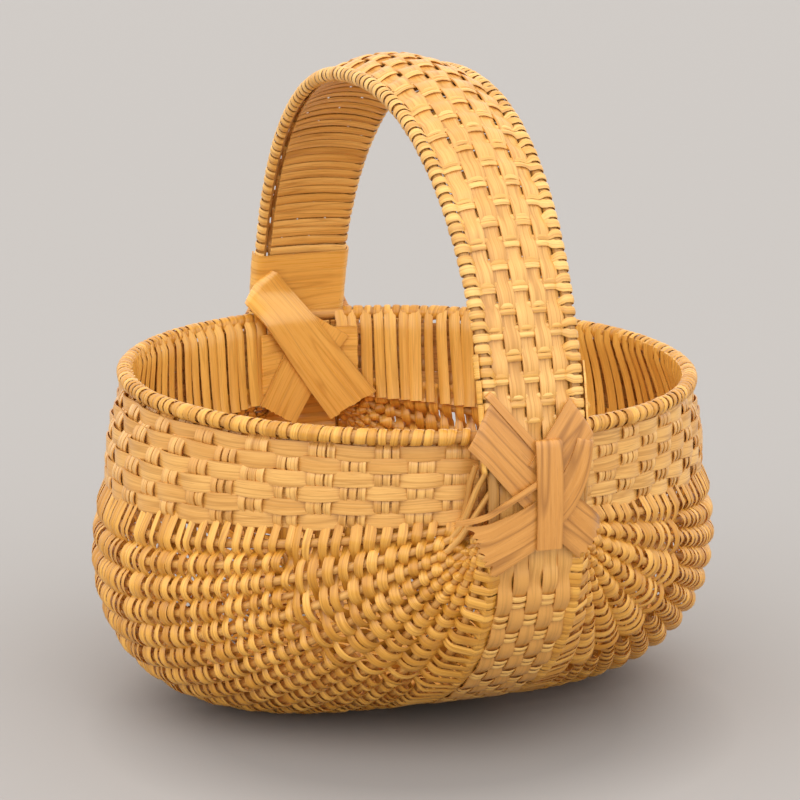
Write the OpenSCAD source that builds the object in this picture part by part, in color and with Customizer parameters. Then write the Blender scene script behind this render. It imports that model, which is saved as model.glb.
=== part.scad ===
// Two-lobed ribbed basket, woven from thin oak splint on a frame of rods.
// An upright hoop is the handle above the rim and the keel below it. A level rim rod crosses
// it at the two ears. Ribs fan out from ear to ear under a band of flat splints and carry the
// weave of both lobes, and crossed lashings tie each ear.
// X runs across the lobes, Y from ear to ear, and Z = 0 is the surface the lobes rest on.

/* [Rim] */
// Half length of the rim rod from ear to ear, to its centre line
rim_half_length = 73.5; // [66:0.5:84]
// Half width of the rim rod across the lobes, to its centre line
rim_half_width = 68.5; // [60:0.5:76]
// Thickness of the rim rod
rim_rod_d = 2.6; // [2:0.1:3.2]

/* [Rim band] */
// Number of flat splints in the band on each side
band_rows = 6; // [4:1:7]
// Height of the band below the rim, at the middle of a side
band_height = 26; // [22:0.5:32]
// How far the band swells outwards between its rim and its foot
band_swell = 2; // [1:0.25:3.5]

/* [Lobes] */
// Drop from the rim to the ear axis, where the ribs start
ear_drop = 20; // [16:0.5:22]
// Half width across both lobes, to the line of the ribs
lobe_half_width = 77; // [70:1:86]
// Depth of the ribs below the ear axis
lobe_depth = 60; // [52:1:68]
// Squareness of a lobe's cross-section, where 2 is round
lobe_squareness = 3.7; // [2.8:0.1:4.4]
// How far the keel is drawn up between the lobes
cleft_depth = 2; // [1.5:0.25:4]
// Angle over which the lobes run up to the keel
cleft_angle = 14; // [10:1:20]
// How far the lobes are drawn in under the band
waist_depth = 3; // [1:0.25:5]
// Angle over which the lobes swell out below the band
waist_angle = 9; // [6:0.5:14]
// Fullness of the ribs from ear to ear at the band, where 2 is an ellipse
lobe_fullness = 1.4; // [1.3:0.05:2]
// Fullness of the ribs and the hoop from ear to ear at the keel, where 2 is an ellipse
keel_fullness = 2.4; // [2:0.1:3]
// Depth of the flat that each lobe rests on
rest_press = 1.1; // [1:0.1:2]

/* [Ribs and weave] */
// Number of long ribs in each lobe
long_ribs = 8; // [6:1:10]
// Share of the space between long ribs that lies over the first one
rib_lead = 0.4; // [0.3:0.05:0.5]
// Thickness of a rib
rib_d = 2.4; // [1.8:0.1:2.8]
// Share of its thickness that a rib keeps at its pointed ends
rib_tip = 0.6; // [0.4:0.05:0.8]
// Angle from the ear at which the weave and the band begin
ear_angle = 9; // [7:0.5:11]
// Angle from the ear past which the long ribs begin
rib_end_angle = 16; // [14:1:22]
// Angle from the ear at which the short ribs begin
short_rib_angle = 38; // [32:1:48]
// Thickness of a layer of narrow weaving splint
weave_t = 0.6; // [0.4:0.05:0.9]
// Thickness of a flat splint
flat_t = 0.8; // [0.5:0.05:1.1]
// Space between neighbouring flat splints
flat_gap = 0.5; // [0.3:0.05:0.9]

/* [Handle and keel] */
// Rise of the hoop's centre line above the rim
handle_rise = 73; // [58:1:90]
// Fullness of the handle's arch, where 2 is an ellipse
handle_fullness = 2.2; // [2:0.05:2.6]
// Distance between the edge rods at the top of the handle
handle_top_w = 26.5; // [24:0.5:31]
// Rise of the weave between the edge rods at the top of the handle
handle_crown = 4.25; // [2:0.25:5.5]
// Distance between the edge rods at the ears and along the keel
hoop_foot_w = 21; // [19:0.5:23]
// Thickness of the two edge rods
hoop_rod_d = 2.6; // [2:0.1:3.2]
// Number of flat splints across the hoop
hoop_flats = 5; // [3:1:6]

/* [Lashings] */
// Thickness of the lashing splint
lash_t = 0.6; // [0.4:0.05:0.9]
// Width of a crossing lashing
lash_w = 12; // [9:0.5:14]
// Half width of the ground that the crossed lashings cover
lash_reach_x = 13; // [10:0.5:14]
// How far the lashings reach above the ear axis
lash_reach_up = 24; // [19:0.5:25]
// How far the lashings reach below the ear axis
lash_reach_down = 7; // [4:0.5:8]
// Width of the tuck that closes the lashings
tuck_w = 6; // [4:0.5:8]
// Length of the tuck
tuck_length = 27; // [20:1:30]

/* [Hidden] */
// Clearance between pieces that lie on one another
seat = 0.3;
// Steps along a rib, around half the hoop, and across a lashing
rib_steps = 18;
hoop_steps = 24;
lash_steps = 8;
// Sides of a rib and of a hoop rod
rib_sides = 5;
rod_sides = 6;
// Half of the angle that stays free at each end of the handle's and the keel's weave
hoop_end_angle = 2;
// Radii by which the lashings fall back outside the ear and curl forward inside it
lash_fall_r = 3.125;
lash_curl_r = 25;
// Small step for finding the slope of a surface
slope_step = 0.05;
// Power with which the ribs take on the keel's curve towards it
keel_growth = 4;

// Radii of the rods and of the splint turns that wrap them
rim_r = rim_rod_d / 2;
rim_wrap_r = rim_r + seat + weave_t;
hoop_r = hoop_rod_d / 2;
hoop_wrap_r = hoop_r + seat + weave_t;
rib_r = rib_d / 2;
// Distance from the line of the ribs to the two faces of each weave layer
wall_near = rib_r + seat;
wall_far = wall_near + weave_t;

// Place where a lobe's weave ends beside the keel
lobe_inner_x = hoop_foot_w / 2 + hoop_r + 2 * seat;
// Angles below level of the lobe's upper edge and of its edge at the keel
top_angle = atan2(band_height - ear_drop, lobe_half_width);
keel_angle = atan2(lobe_depth - cleft_depth, lobe_inner_x);
rib_pitch = (keel_angle - top_angle) / long_ribs;
// Angles of every line that the outer weave bends over: its edges and all the ribs
wall_angles = concat(
    [top_angle], [for (i = [1 : 0.5 : long_ribs]) rib_angle(i)], [keel_angle]);
inside_angles = concat(
    [top_angle], [for (i = [1 : long_ribs]) rib_angle(i)], [keel_angle]);

// Heights of the ear axis, the rim and the hoop's parts, with the pressed flat at zero
lobe_low = max([for (a = wall_angles) lobe_reach(a) * sin(a)]);
ear_z = lobe_low + wall_far - rest_press;
rim_z = ear_z + ear_drop;
hoop_up = ear_drop + handle_rise;
// The hoop passes outside the wrapped rim, so its widest place follows from its reach there
rim_level_share = pow(1 - pow(ear_drop / hoop_up, handle_fullness), 1 / handle_fullness);
hoop_half_length = (rim_half_length + rim_wrap_r + seat + hoop_wrap_r) / rim_level_share;
hoop_down = lobe_reach(keel_angle) * sin(keel_angle);

// Angles along the basket, from the front ear to the rear one, that every rib and layer shares
along = [for (i = [0 : rib_steps]) lerp(ear_angle, 180 - ear_angle, i / rib_steps)];
along_long = [for (t = along) if (t > rib_end_angle && t < 180 - rib_end_angle) t];
along_short = [for (t = along) if (t > short_rib_angle && t < 180 - short_rib_angle) t];
// The rim rod goes right round, through the same angles and on across the ears
around = concat([0], along, [180], [for (t = along) 180 + t]);
handle_angles = [for (i = [0 : hoop_steps])
    lerp(hoop_end_angle, 180 - hoop_end_angle, i / hoop_steps)];
keel_angles = [for (s = handle_angles) 180 + s];
hoop_angles = concat(handle_angles, keel_angles);

function lerp(a, b, u) = a + (b - a) * u;
function unit(v) = v / norm(v);
function signed_pow(v, e) = sign(v) * pow(abs(v), e);
function flip_order(list) = [for (i = [len(list) - 1 : -1 : 0]) list[i]];
function flat_list(lists) = [for (list = lists) each list];

// Angle below level of a long rib, and of the short rib that follows it
function rib_angle(i) = top_angle + (i - 1 + rib_lead) * rib_pitch;
function short_rib_line(i) = rib_angle(i + 0.5);

// Distance from the ear axis to the line of the ribs, at an angle below level
function lobe_reach(a) =
    pow(pow(cos(a) / lobe_half_width, lobe_squareness)
        + pow(sin(a) / lobe_depth, lobe_squareness), -1 / lobe_squareness)
    - cleft_depth * exp(-pow((keel_angle - a) / cleft_angle, 2))
    - waist_depth * exp(-pow((a - top_angle) / waist_angle, 2));

// Share of the way from the band to the keel, and how far a rib there takes on the keel's curve
function lobe_share(a) = (a - top_angle) / (keel_angle - top_angle);
function keel_share(a) = pow(max(0, lobe_share(a)), keel_growth);
function rib_power(a) = 2 / lerp(lobe_fullness, keel_fullness, keel_share(a));
function rib_half_length(a) = lerp(rim_half_length, hoop_half_length, keel_share(a));

// Place across the ear where a rib would start, from the middle out to the keel's edge
function ear_x(a) = lobe_inner_x * lobe_share(a);

// Point of the right lobe's rib surface, at an angle below level and an angle along
function rib_point(a, t) =
    let (reach = lobe_reach(a), swell = pow(sin(t), rib_power(a)))
    [lerp(ear_x(a), reach * cos(a), swell),
     -rib_half_length(a) * cos(t),
     ear_z - reach * sin(a) * swell];
function rib_normal(a, t) = unit(cross(
    rib_point(a + slope_step, t) - rib_point(a - slope_step, t),
    rib_point(a, t + slope_step) - rib_point(a, t - slope_step)));

// The same point a given distance outside the ribs, clear of the hoop and pressed flat where the lobe rests
function wall_point(a, t, out) =
    let (p = rib_point(a, t) + out * rib_normal(a, t))
    [max(p.x, ear_x(a)), p.y, max(p.z, wall_far - out)];
function wall_grid(angles, out) = [for (a = angles) [for (t = along) wall_point(a, t, out)]];

// Rim centre line, its outward direction, and the line where the band meets the lobe
function rim_point(t) = [rim_half_width * sin(t), -rim_half_length * cos(t), rim_z];
function rim_out(t) = unit([sin(t) / rim_half_width, -cos(t) / rim_half_length, 0]);
function band_foot(t) =
    rib_point(top_angle, t) + [0, 0, 2 * seat] - (flat_t + seat) * rim_out(t);

// Middle of the band's upright weave, from the rim at u = 0 to its foot at u = 1
function band_point(u, t) =
    lerp(rim_point(t) - (rim_wrap_r - weave_t / 2) * rim_out(t), band_foot(t), u)
    + 4 * u * (1 - u) * band_swell * sin(t) * rim_out(t);
function band_drop(t) = rim_z - band_foot(t).z;
// Upper edge of a row of the band, as a share of the way from the rim to the foot
function row_top(i, t) =
    let (first = (rim_wrap_r + seat) / band_drop(t))
    lerp(first, 1, (i - 1) / band_rows);

// Angles of the splint turn round the rim rod, from its outer end over the top
rim_turn = [-45, 10, 65, 120];
band_shares = [0, 0.25, 0.5, 0.75, 1];
function rim_turn_point(k, r, t) =
    rim_point(t) + r * (cos(k) * rim_out(t) + [0, 0, sin(k)]);
// One face of the band's weave: round the rim rod, then down to the foot
function band_face(turn_r, out) = concat(
    [for (k = rim_turn) [for (t = along) rim_turn_point(k, turn_r, t)]],
    [for (u = band_shares) [for (t = along) band_point(u, t) + out * rim_out(t)]]);

// Hoop centre line in its own plane, from the rear ear over the handle and under the keel
function handle_line(s) =
    [0,
     hoop_half_length * signed_pow(cos(s), 2 / handle_fullness),
     ear_z + hoop_up * pow(sin(s), 2 / handle_fullness)];
function keel_line(s) =
    [0, hoop_half_length * cos(s), ear_z - hoop_down * pow(-sin(s), 2 / keel_fullness)];
function hoop_point(s) = sin(s) > 0 ? handle_line(s) : keel_line(s);
function hoop_out(s) =
    let (d = hoop_point(s + slope_step) - hoop_point(s - slope_step)) unit([0, d.z, -d.y]);
// Distance from the middle to an edge rod
function hoop_half_w(s) =
    lerp(hoop_foot_w, handle_top_w, sin(s) > 0 ? pow(sin(s), 2) : 0) / 2;
function hoop_place(s, x, out) = hoop_point(s) + [x, 0, 0] + out * hoop_out(s);
// Lift of the weave between the edge rods, which crowns the handle
function hoop_crown(s, x) =
    handle_crown * pow(max(0, sin(s)), 2) * (1 - pow(x / hoop_half_w(s), 2));
// Ground between the edge rods that the flat splints share, and where each of them starts
function flat_ground(s) = 2 * (hoop_half_w(s) - hoop_r - seat);
function flat_x(s, i) =
    -flat_ground(s) / 2 + (i - 1) * (flat_ground(s) + flat_gap) / hoop_flats;
// Half reach in Y of the hoop's centre line at a height
function hoop_reach(z) =
    let (h = z - ear_z)
    hoop_half_length * (h > 0
        ? pow(1 - pow(h / hoop_up, handle_fullness), 1 / handle_fullness)
        : sqrt(1 - pow(-h / hoop_down, keel_fullness)));

// Angles of the splint turn round an edge rod, from the handle's outer face to its inner one
edge_turn = [100, 40, -25, -90];
function handle_face(r) = concat(
    [for (k = edge_turn) [for (s = handle_angles)
        hoop_place(s, hoop_half_w(s) + r * cos(k), r * sin(k))]],
    [for (i = [hoop_flats : -1 : 2]) [for (s = handle_angles)
        let (x = flat_x(s, i) - flat_gap / 2)
        hoop_place(s, x, hoop_crown(s, x) - r)]],
    [for (k = flip_order(edge_turn)) [for (s = handle_angles)
        hoop_place(s, -hoop_half_w(s) - r * cos(k), r * sin(k))]]);

// Closed solid between two grids of points, each a list of rows, the first grid facing out
module slab(outer, inner) {
    rows = len(outer);
    cols = len(outer[0]);
    back = rows * cols;
    last_row = (rows - 1) * cols;
    function quad(a, b, c, d) = [[a, b, c], [a, c, d]];
    front_faces = [for (r = [0 : rows - 2], c = [0 : cols - 2]) let (i = r * cols + c)
        each quad(i, i + 1, i + cols + 1, i + cols)];
    back_faces = [for (f = front_faces) [back + f[2], back + f[1], back + f[0]]];
    row_faces = [for (c = [0 : cols - 2]) each concat(
        quad(c + 1, c, back + c, back + c + 1),
        quad(last_row + c, last_row + c + 1, back + last_row + c + 1, back + last_row + c))];
    col_faces = [for (r = [0 : rows - 2]) let (i = r * cols, j = i + cols - 1) each concat(
        quad(i, i + cols, back + i + cols, back + i),
        quad(j + cols, j, back + j, back + j + cols))];
    polyhedron(concat(flat_list(outer), flat_list(inner)),
        concat(front_faces, back_faces, row_faces, col_faces));
}

// Tube or bar through a list of rings, each with the same number of points
module sweep(rings, closed = false) {
    count = len(rings);
    sides = len(rings[0]);
    spans = closed ? count : count - 1;
    walls = [for (k = [0 : spans - 1], j = [0 : sides - 1])
        let (n = (j + 1) % sides, a = k * sides, b = ((k + 1) % count) * sides)
        each [[a + j, b + j, b + n], [a + j, b + n, a + n]]];
    end = (count - 1) * sides;
    caps = [for (j = [1 : sides - 2]) each [[0, j, j + 1], [end, end + j + 1, end + j]]];
    polyhedron(flat_list(rings), closed ? walls : concat(walls, caps));
}

// Ring of points about a centre, from two directions square to the way along
function ring(centre, r, sides, toward, across) =
    [for (j = [0 : sides - 1]) let (k = 360 * j / sides)
        centre + r * (cos(k) * toward + sin(k) * across)];

module on_side(side) {
    if (side == "left") mirror([1, 0, 0]) children();
    else children();
}

module at_ear(ear) {
    if (ear == "rear") rotate([0, 0, 180]) children();
    else children();
}

module rim_rod() {
    color("peru") sweep([for (t = around)
        ring(rim_point(t), rim_r, rod_sides, rim_out(t), [0, 0, -1])], closed = true);
}

module band_weave() {
    color("burlywood") slab(
        band_face(rim_r + seat, weave_t / 2), band_face(rim_wrap_r, -weave_t / 2));
}

module band_splint(i) {
    function edge(share, out) = [for (t = along) let (
        top = row_top(i, t),
        bottom = row_top(i + 1, t) - flat_gap / band_drop(t))
        band_point(lerp(top, bottom, share), t) + out * rim_out(t)];
    near = weave_t / 2 + seat;
    color("goldenrod") slab(
        [edge(0, near + flat_t), edge(1, near + flat_t)], [edge(0, near), edge(1, near)]);
}

module rib(a, angles) {
    first = angles[0];
    last = angles[len(angles) - 1];
    color("tan") sweep([for (t = angles)
        let (out = rib_normal(a, t),
             forward = unit(rib_point(a, t + slope_step) - rib_point(a, t - slope_step)),
             r = rib_r * lerp(rib_tip, 1, sin(180 * (t - first) / (last - first))))
        ring(wall_point(a, t, 0), r, rib_sides, out, cross(forward, out))]);
}

module short_ribs() {
    for (i = [1 : long_ribs - 1]) rib(short_rib_line(i), along_short);
}

module weave_outside() {
    color("burlywood") slab(wall_grid(wall_angles, wall_far), wall_grid(wall_angles, wall_near));
}

module weave_inside() {
    color("tan") slab(wall_grid(inside_angles, -wall_near), wall_grid(inside_angles, -wall_far));
}

module hoop_rod() {
    color("peru") sweep([for (s = hoop_angles)
        ring(hoop_place(s, hoop_half_w(s), 0), hoop_r, rod_sides, hoop_out(s), [-1, 0, 0])],
        closed = true);
}

module hoop_splint(i) {
    function edge(s, x, out) = hoop_place(s, x, out - hoop_r + hoop_crown(s, x));
    color("goldenrod") sweep([for (s = hoop_angles)
        let (x = flat_x(s, i), x_end = flat_x(s, i + 1) - flat_gap)
        [edge(s, x_end, 0), edge(s, x_end, flat_t), edge(s, x, flat_t), edge(s, x, 0)]],
        closed = true);
}

module handle_weave() {
    color("burlywood") slab(handle_face(hoop_r + seat), handle_face(hoop_wrap_r));
}

module keel_weave() {
    function edge(x, out) = [for (s = keel_angles) hoop_place(s, x, out)];
    near = -hoop_r - seat;
    color("tan") slab(
        [edge(hoop_foot_w / 2, near), edge(-hoop_foot_w / 2, near)],
        [edge(hoop_foot_w / 2, near - weave_t), edge(-hoop_foot_w / 2, near - weave_t)]);
}

// Distance that a curve of a given radius has left a straight line, some way along it
function fall_back(way, r) = way * way / (2 * r);

// Where a lashing lies at the front ear: over the hoop and falling back beside it
function lash_out(x, z, lift) =
    [x,
     -hoop_reach(z) - hoop_wrap_r - 2 * seat - lift
     + fall_back(max(0, abs(x) - hoop_foot_w / 2 - hoop_wrap_r), lash_fall_r),
     z];
// The same inside the ear, in front of the rim rod and the ends of the weave
function lash_in(x, z, lift) =
    [x,
     -rim_half_length + rim_wrap_r + seat + lift + hoop_half_length - hoop_reach(z)
     + fall_back(x, lash_curl_r),
     z];

// Flat strip between two places on the ear, given as [x, height above the ear axis]
function strip_grid(from, to, w, lift, inside) =
    let (way = unit(to - from), side = [-way.y, way.x] * w / 2)
    [for (v = [-1, 0, 1]) [for (i = [0 : lash_steps])
        let (p = lerp(from, to, i / lash_steps) + v * side)
        inside ? lash_in(p.x, ear_z + p.y, lift) : lash_out(p.x, ear_z + p.y, lift)]];
module strip(from, to, w, lift, inside = false) {
    near = flip_order(strip_grid(from, to, w, lift, inside));
    far = flip_order(strip_grid(from, to, w, lift + lash_t, inside));
    color("sandybrown") slab(inside ? near : far, inside ? far : near);
}

low_left = [-lash_reach_x, -lash_reach_down];
low_right = [lash_reach_x, -lash_reach_down];
high_left = [-lash_reach_x, lash_reach_up];
high_right = [lash_reach_x, lash_reach_up];
lash_layer = lash_t + seat;

module lashing_rising() {
    strip(low_left, high_right, lash_w, lash_layer);
}

module lashing_falling() {
    strip(high_left, low_right, lash_w, 0);
}

module lashing_tuck() {
    top = ear_drop;
    strip([0, top - tuck_length], [0, top], tuck_w, 2 * lash_layer);
}

module lashing_inside() {
    strip(low_left, high_right, lash_w, lash_layer, inside = true);
    strip(high_left, low_right, lash_w, 0, inside = true);
}

sides = ["left", "right"];
ears = ["front", "rear"];

rim_rod();
handle_weave();
keel_weave();
for (i = [1 : hoop_flats])
    hoop_splint(i);
for (side = sides) on_side(side) {
    hoop_rod();
    band_weave();
    for (i = [1 : band_rows])
        band_splint(i);
    for (i = [1 : long_ribs])
        rib(rib_angle(i), along_long);
    short_ribs();
    weave_outside();
    weave_inside();
}
for (ear = ears) at_ear(ear) {
    lashing_rising();
    lashing_falling();
    lashing_tuck();
    lashing_inside();
}
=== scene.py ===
"""Looks of a small two-lobed ribbed basket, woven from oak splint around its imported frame.

Lengths are in millimetres and angles in degrees until a mesh is laid, in the part's own frame.
"Down" is an angle below level about the ear axis, from the band to the keel. "Along" is an angle
from the front ear to the rear one. "Turn" is an angle around the upright hoop, from the rear ear
over the handle to the front ear and back under the keel.
"""

import logging
import math
from dataclasses import dataclass, field, replace
from enum import Enum
from typing import Any, ClassVar, Dict, Iterable, Sequence, Tuple, Union

import bpy
import numpy as np
from mathutils import Matrix, Vector


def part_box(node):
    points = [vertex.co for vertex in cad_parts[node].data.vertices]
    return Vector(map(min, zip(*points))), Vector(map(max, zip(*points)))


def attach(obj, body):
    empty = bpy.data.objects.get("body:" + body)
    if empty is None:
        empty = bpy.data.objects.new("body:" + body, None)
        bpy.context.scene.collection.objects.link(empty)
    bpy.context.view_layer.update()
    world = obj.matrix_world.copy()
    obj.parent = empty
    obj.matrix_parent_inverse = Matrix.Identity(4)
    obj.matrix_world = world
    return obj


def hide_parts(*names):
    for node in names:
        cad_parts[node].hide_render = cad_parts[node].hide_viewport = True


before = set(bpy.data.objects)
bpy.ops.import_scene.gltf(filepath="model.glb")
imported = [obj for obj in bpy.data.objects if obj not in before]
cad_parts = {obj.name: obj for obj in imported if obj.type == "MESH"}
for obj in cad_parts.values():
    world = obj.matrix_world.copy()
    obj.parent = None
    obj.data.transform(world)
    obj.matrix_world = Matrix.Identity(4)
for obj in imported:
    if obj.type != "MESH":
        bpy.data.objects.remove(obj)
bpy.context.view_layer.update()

log = logging.getLogger("basket")
Array = np.ndarray
Number = Union[float, Array]
Colour = Tuple[float, float, float, float]
MM = 0.001
QUARTER_TURN = 90.0
HALF_TURN = 180.0
FULL_TURN = 360.0
# Angles at which half a turn of a curve is sampled to measure its length.
SAMPLES = 721
# Power that makes a flat's swing squarer than a cosine.
SWING_POWER = 0.8


def sind(angle: Number) -> Number:
    """Sine of an angle in degrees."""
    return np.sin(np.radians(angle))


def cosd(angle: Number) -> Number:
    """Cosine of an angle in degrees."""
    return np.cos(np.radians(angle))


def lerp(a: Number, b: Number, share: Number) -> Number:
    """Value a share of the way from a to b."""
    return a + (b - a) * share


def ease(share: Number) -> Number:
    """Share between 0 and 1 that starts and stops gently."""
    held = np.clip(share, 0.0, 1.0)
    return held * held * (3.0 - 2.0 * held)


def unit(vectors: Array) -> Array:
    """Vectors of length one in the same directions."""
    return vectors / np.linalg.norm(vectors, axis=-1, keepdims=True)


def signed_pow(value: Number, power: float) -> Number:
    """Power of a value's size that keeps its sign."""
    return np.sign(value) * np.abs(value) ** power


def swung(phase: Number) -> Number:
    """Swing of a splint over and under what it crosses, between -1 and 1."""
    return signed_pow(phase, SWING_POWER)


def points(x: Number, y: Number, z: Number) -> Array:
    """Rows of three coordinates from values or columns."""
    return np.stack(np.broadcast_arrays(x, y, z), axis=-1).astype(float)


def run_lengths(line: Array) -> Array:
    """Distance from the start of a line to each of its points."""
    steps = np.linalg.norm(np.diff(line, axis=0), axis=1)
    return np.concatenate([[0.0], np.cumsum(steps)])


def mesh_places(piece: bpy.types.Object) -> Array:
    """Reads the places of a mesh's points.

    Args:
        piece: The object that has the mesh.

    Returns:
        Rows of X, Y and Z in the mesh's own units.
    """
    places = np.empty(len(piece.data.vertices) * 3)
    piece.data.vertices.foreach_get("co", places)
    return places.reshape(-1, 3)


def move_points(piece: bpy.types.Object, places: Array) -> None:
    """Moves a mesh's points to places in millimetres."""
    piece.data.vertices.foreach_set("co", (places * MM).astype(np.float32).ravel())


class Region(Enum):
    """A region of the basket that piece and node names tell apart."""

    @property
    def word(self) -> str:
        """The region's name in piece and node names."""
        return self.name.lower()


class Side(Region):
    """The two lobes, as the sign of X on their side."""

    LEFT = -1.0
    RIGHT = 1.0


class Ear(Region):
    """The two ears, as the sign that turns the front ear's places onto them."""

    FRONT = 1.0
    REAR = -1.0


class Cut(Enum):
    """Cross-sections that the maker cuts splint and rods to."""

    WEAVER = "narrow splint with a crowned face"
    FLAT = "wide splint with eased edges"
    STRIP = "broad thin splint with square edges"
    ROD = "whittled round rod"


class Slot(Enum):
    """Material slots of the part's record."""

    WEAVING = "weaving_splint"
    FLAT = "flat_splint"
    ROD = "rod"
    LASHING = "lashing_splint"


@dataclass(frozen=True)
class BasketForm:
    """Main lines of the basket, the same curves that the part's solids follow.

    The rim and the hoop's height come from the frame. The right lobe is described, and the left
    one is its mirror image.
    """

    rim_half_width: float
    rim_half_length: float
    rim_z: float
    hoop_top_z: float
    rim_r: float = 1.3
    hoop_r: float = 1.3
    rib_r: float = 1.2
    seat: float = 0.3
    weave_t: float = 0.6
    flat_t: float = 0.8
    ear_drop: float = 20.0
    band_height: float = 26.0
    band_swell: float = 2.0
    band_rows: int = 6
    lobe_half_width: float = 78.0
    lobe_depth: float = 60.0
    lobe_squareness: float = 3.7
    cleft_depth: float = 2.0
    cleft_angle: float = 14.0
    waist_depth: float = 3.0
    waist_angle: float = 9.0
    lobe_fullness: float = 1.4
    keel_fullness: float = 2.4
    fullness_growth: float = 4.0
    long_ribs: int = 8
    rib_lead: float = 0.4
    ear_angle: float = 9.0
    rib_end_angle: float = 16.0
    short_rib_angle: float = 46.0
    handle_fullness: float = 2.2
    handle_top_w: float = 26.5
    handle_crown: float = 4.25
    hoop_foot_w: float = 21.0
    lash_fall_r: float = 3.125
    lash_curl_r: float = 25.0
    slope_step: float = 0.05

    @classmethod
    def from_frame(cls) -> "BasketForm":
        """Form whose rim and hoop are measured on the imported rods.

        Returns:
            The basket's form in millimetres.
        """
        low, high = (np.array(corner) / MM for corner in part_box("rim_rod"))
        hoop_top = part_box("left_hoop_rod")[1].z / MM
        return cls(
            rim_half_width=high[0] - cls.rim_r,
            rim_half_length=high[1] - cls.rim_r,
            rim_z=(low[2] + high[2]) / 2,
            hoop_top_z=hoop_top - cls.hoop_r,
        )

    @property
    def ear_z(self) -> float:
        """Height of the ear axis, where the ribs start."""
        return self.rim_z - self.ear_drop

    @property
    def wall_far(self) -> float:
        """Distance from the line of the ribs to the outside of the weave."""
        return self.rib_r + self.seat + self.weave_t

    @property
    def rim_wrap_r(self) -> float:
        """Radius over the splint turns on the rim rod."""
        return self.rim_r + self.seat + self.weave_t

    @property
    def hoop_wrap_r(self) -> float:
        """Radius over the splint turns on an edge rod."""
        return self.hoop_r + self.seat + self.weave_t

    @property
    def lobe_inner_x(self) -> float:
        """Place where a lobe's weave meets the keel."""
        return self.hoop_foot_w / 2 + self.hoop_r + 2 * self.seat

    @property
    def top_angle(self) -> float:
        """Angle below level of the lobe's edge at the band."""
        return math.degrees(math.atan2(self.band_height - self.ear_drop, self.lobe_half_width))

    @property
    def keel_angle(self) -> float:
        """Angle below level of the lobe's edge at the keel."""
        return math.degrees(math.atan2(self.lobe_depth - self.cleft_depth, self.lobe_inner_x))

    @property
    def rib_pitch(self) -> float:
        """Angle between neighbouring long ribs."""
        return (self.keel_angle - self.top_angle) / self.long_ribs

    @property
    def hoop_up(self) -> float:
        """Height of the handle's centre line over the ear axis."""
        return self.hoop_top_z - self.ear_z

    @property
    def hoop_down(self) -> float:
        """Depth of the keel's centre line under the ear axis."""
        return float(self.reach(self.keel_angle) * sind(self.keel_angle))

    @property
    def hoop_half_length(self) -> float:
        """Widest half reach of the hoop, which passes outside the wrapped rim.

        Returns:
            The half reach in millimetres.
        """
        share = 1 - (self.ear_drop / self.hoop_up) ** self.handle_fullness
        level = share ** (1 / self.handle_fullness)
        return (self.rim_half_length + self.rim_wrap_r + self.seat + self.hoop_wrap_r) / level

    def down_of(self, row: Number) -> Number:
        """Angle below level of a place counted in rib pitches from the band."""
        return self.top_angle + row * self.rib_pitch

    def reach(self, down: Number) -> Number:
        """Distance from the ear axis to the line of the ribs.

        Args:
            down: Angle below level.

        Returns:
            The distance in millimetres.
        """
        power = self.lobe_squareness
        wide = (cosd(down) / self.lobe_half_width) ** power
        deep = np.maximum(sind(down) / self.lobe_depth, 0.0) ** power
        cleft = self.cleft_depth * np.exp(-(((self.keel_angle - down) / self.cleft_angle) ** 2))
        waist = self.waist_depth * np.exp(-(((down - self.top_angle) / self.waist_angle) ** 2))
        return (wide + deep) ** (-1 / power) - cleft - waist

    def rib_point(self, down: Number, along: Number) -> Array:
        """Point of the right lobe's rib surface.

        Args:
            down: Angle below level.
            along: Angle from the front ear.

        Returns:
            Rows of X, Y and Z.
        """
        share = (down - self.top_angle) / (self.keel_angle - self.top_angle)
        growth = np.maximum(0.0, share) ** self.fullness_growth
        swell = sind(along) ** (2 / lerp(self.lobe_fullness, self.keel_fullness, growth))
        length = lerp(self.rim_half_length, self.hoop_half_length, growth)
        reach = self.reach(down)
        x = lerp(self.lobe_inner_x * share, reach * cosd(down), swell)
        return points(x, -length * cosd(along), self.ear_z - reach * sind(down) * swell)

    def rib_normal(self, down: Number, along: Number) -> Array:
        """Outward direction of the right lobe's rib surface.

        Args:
            down: Angle below level.
            along: Angle from the front ear.

        Returns:
            Rows of directions.
        """
        step = self.slope_step
        by_down = self.rib_point(down + step, along) - self.rib_point(down - step, along)
        by_along = self.rib_point(down, along + step) - self.rib_point(down, along - step)
        return unit(np.cross(by_down, by_along))

    def wall_point(self, down: Number, along: Number, out: Number) -> Array:
        """Point outside the line of the ribs, pressed flat where the lobe rests.

        Args:
            down: Angle below level.
            along: Angle from the front ear.
            out: Distance outside the line of the ribs.

        Returns:
            Rows of X, Y and Z.
        """
        spread = np.broadcast_to(out, np.broadcast(down, along).shape)
        place = self.rib_point(down, along) + spread[..., None] * self.rib_normal(down, along)
        place[..., 2] = np.maximum(place[..., 2], self.wall_far - spread)
        return place

    def rim_point(self, along: Number) -> Array:
        """Point of the rim rod's centre line, right side first."""
        return points(
            self.rim_half_width * sind(along), -self.rim_half_length * cosd(along), self.rim_z)

    def rim_out(self, along: Number) -> Array:
        """Level direction out of the basket at the rim."""
        return unit(points(
            sind(along) / self.rim_half_width, -cosd(along) / self.rim_half_length, 0.0))

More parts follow.
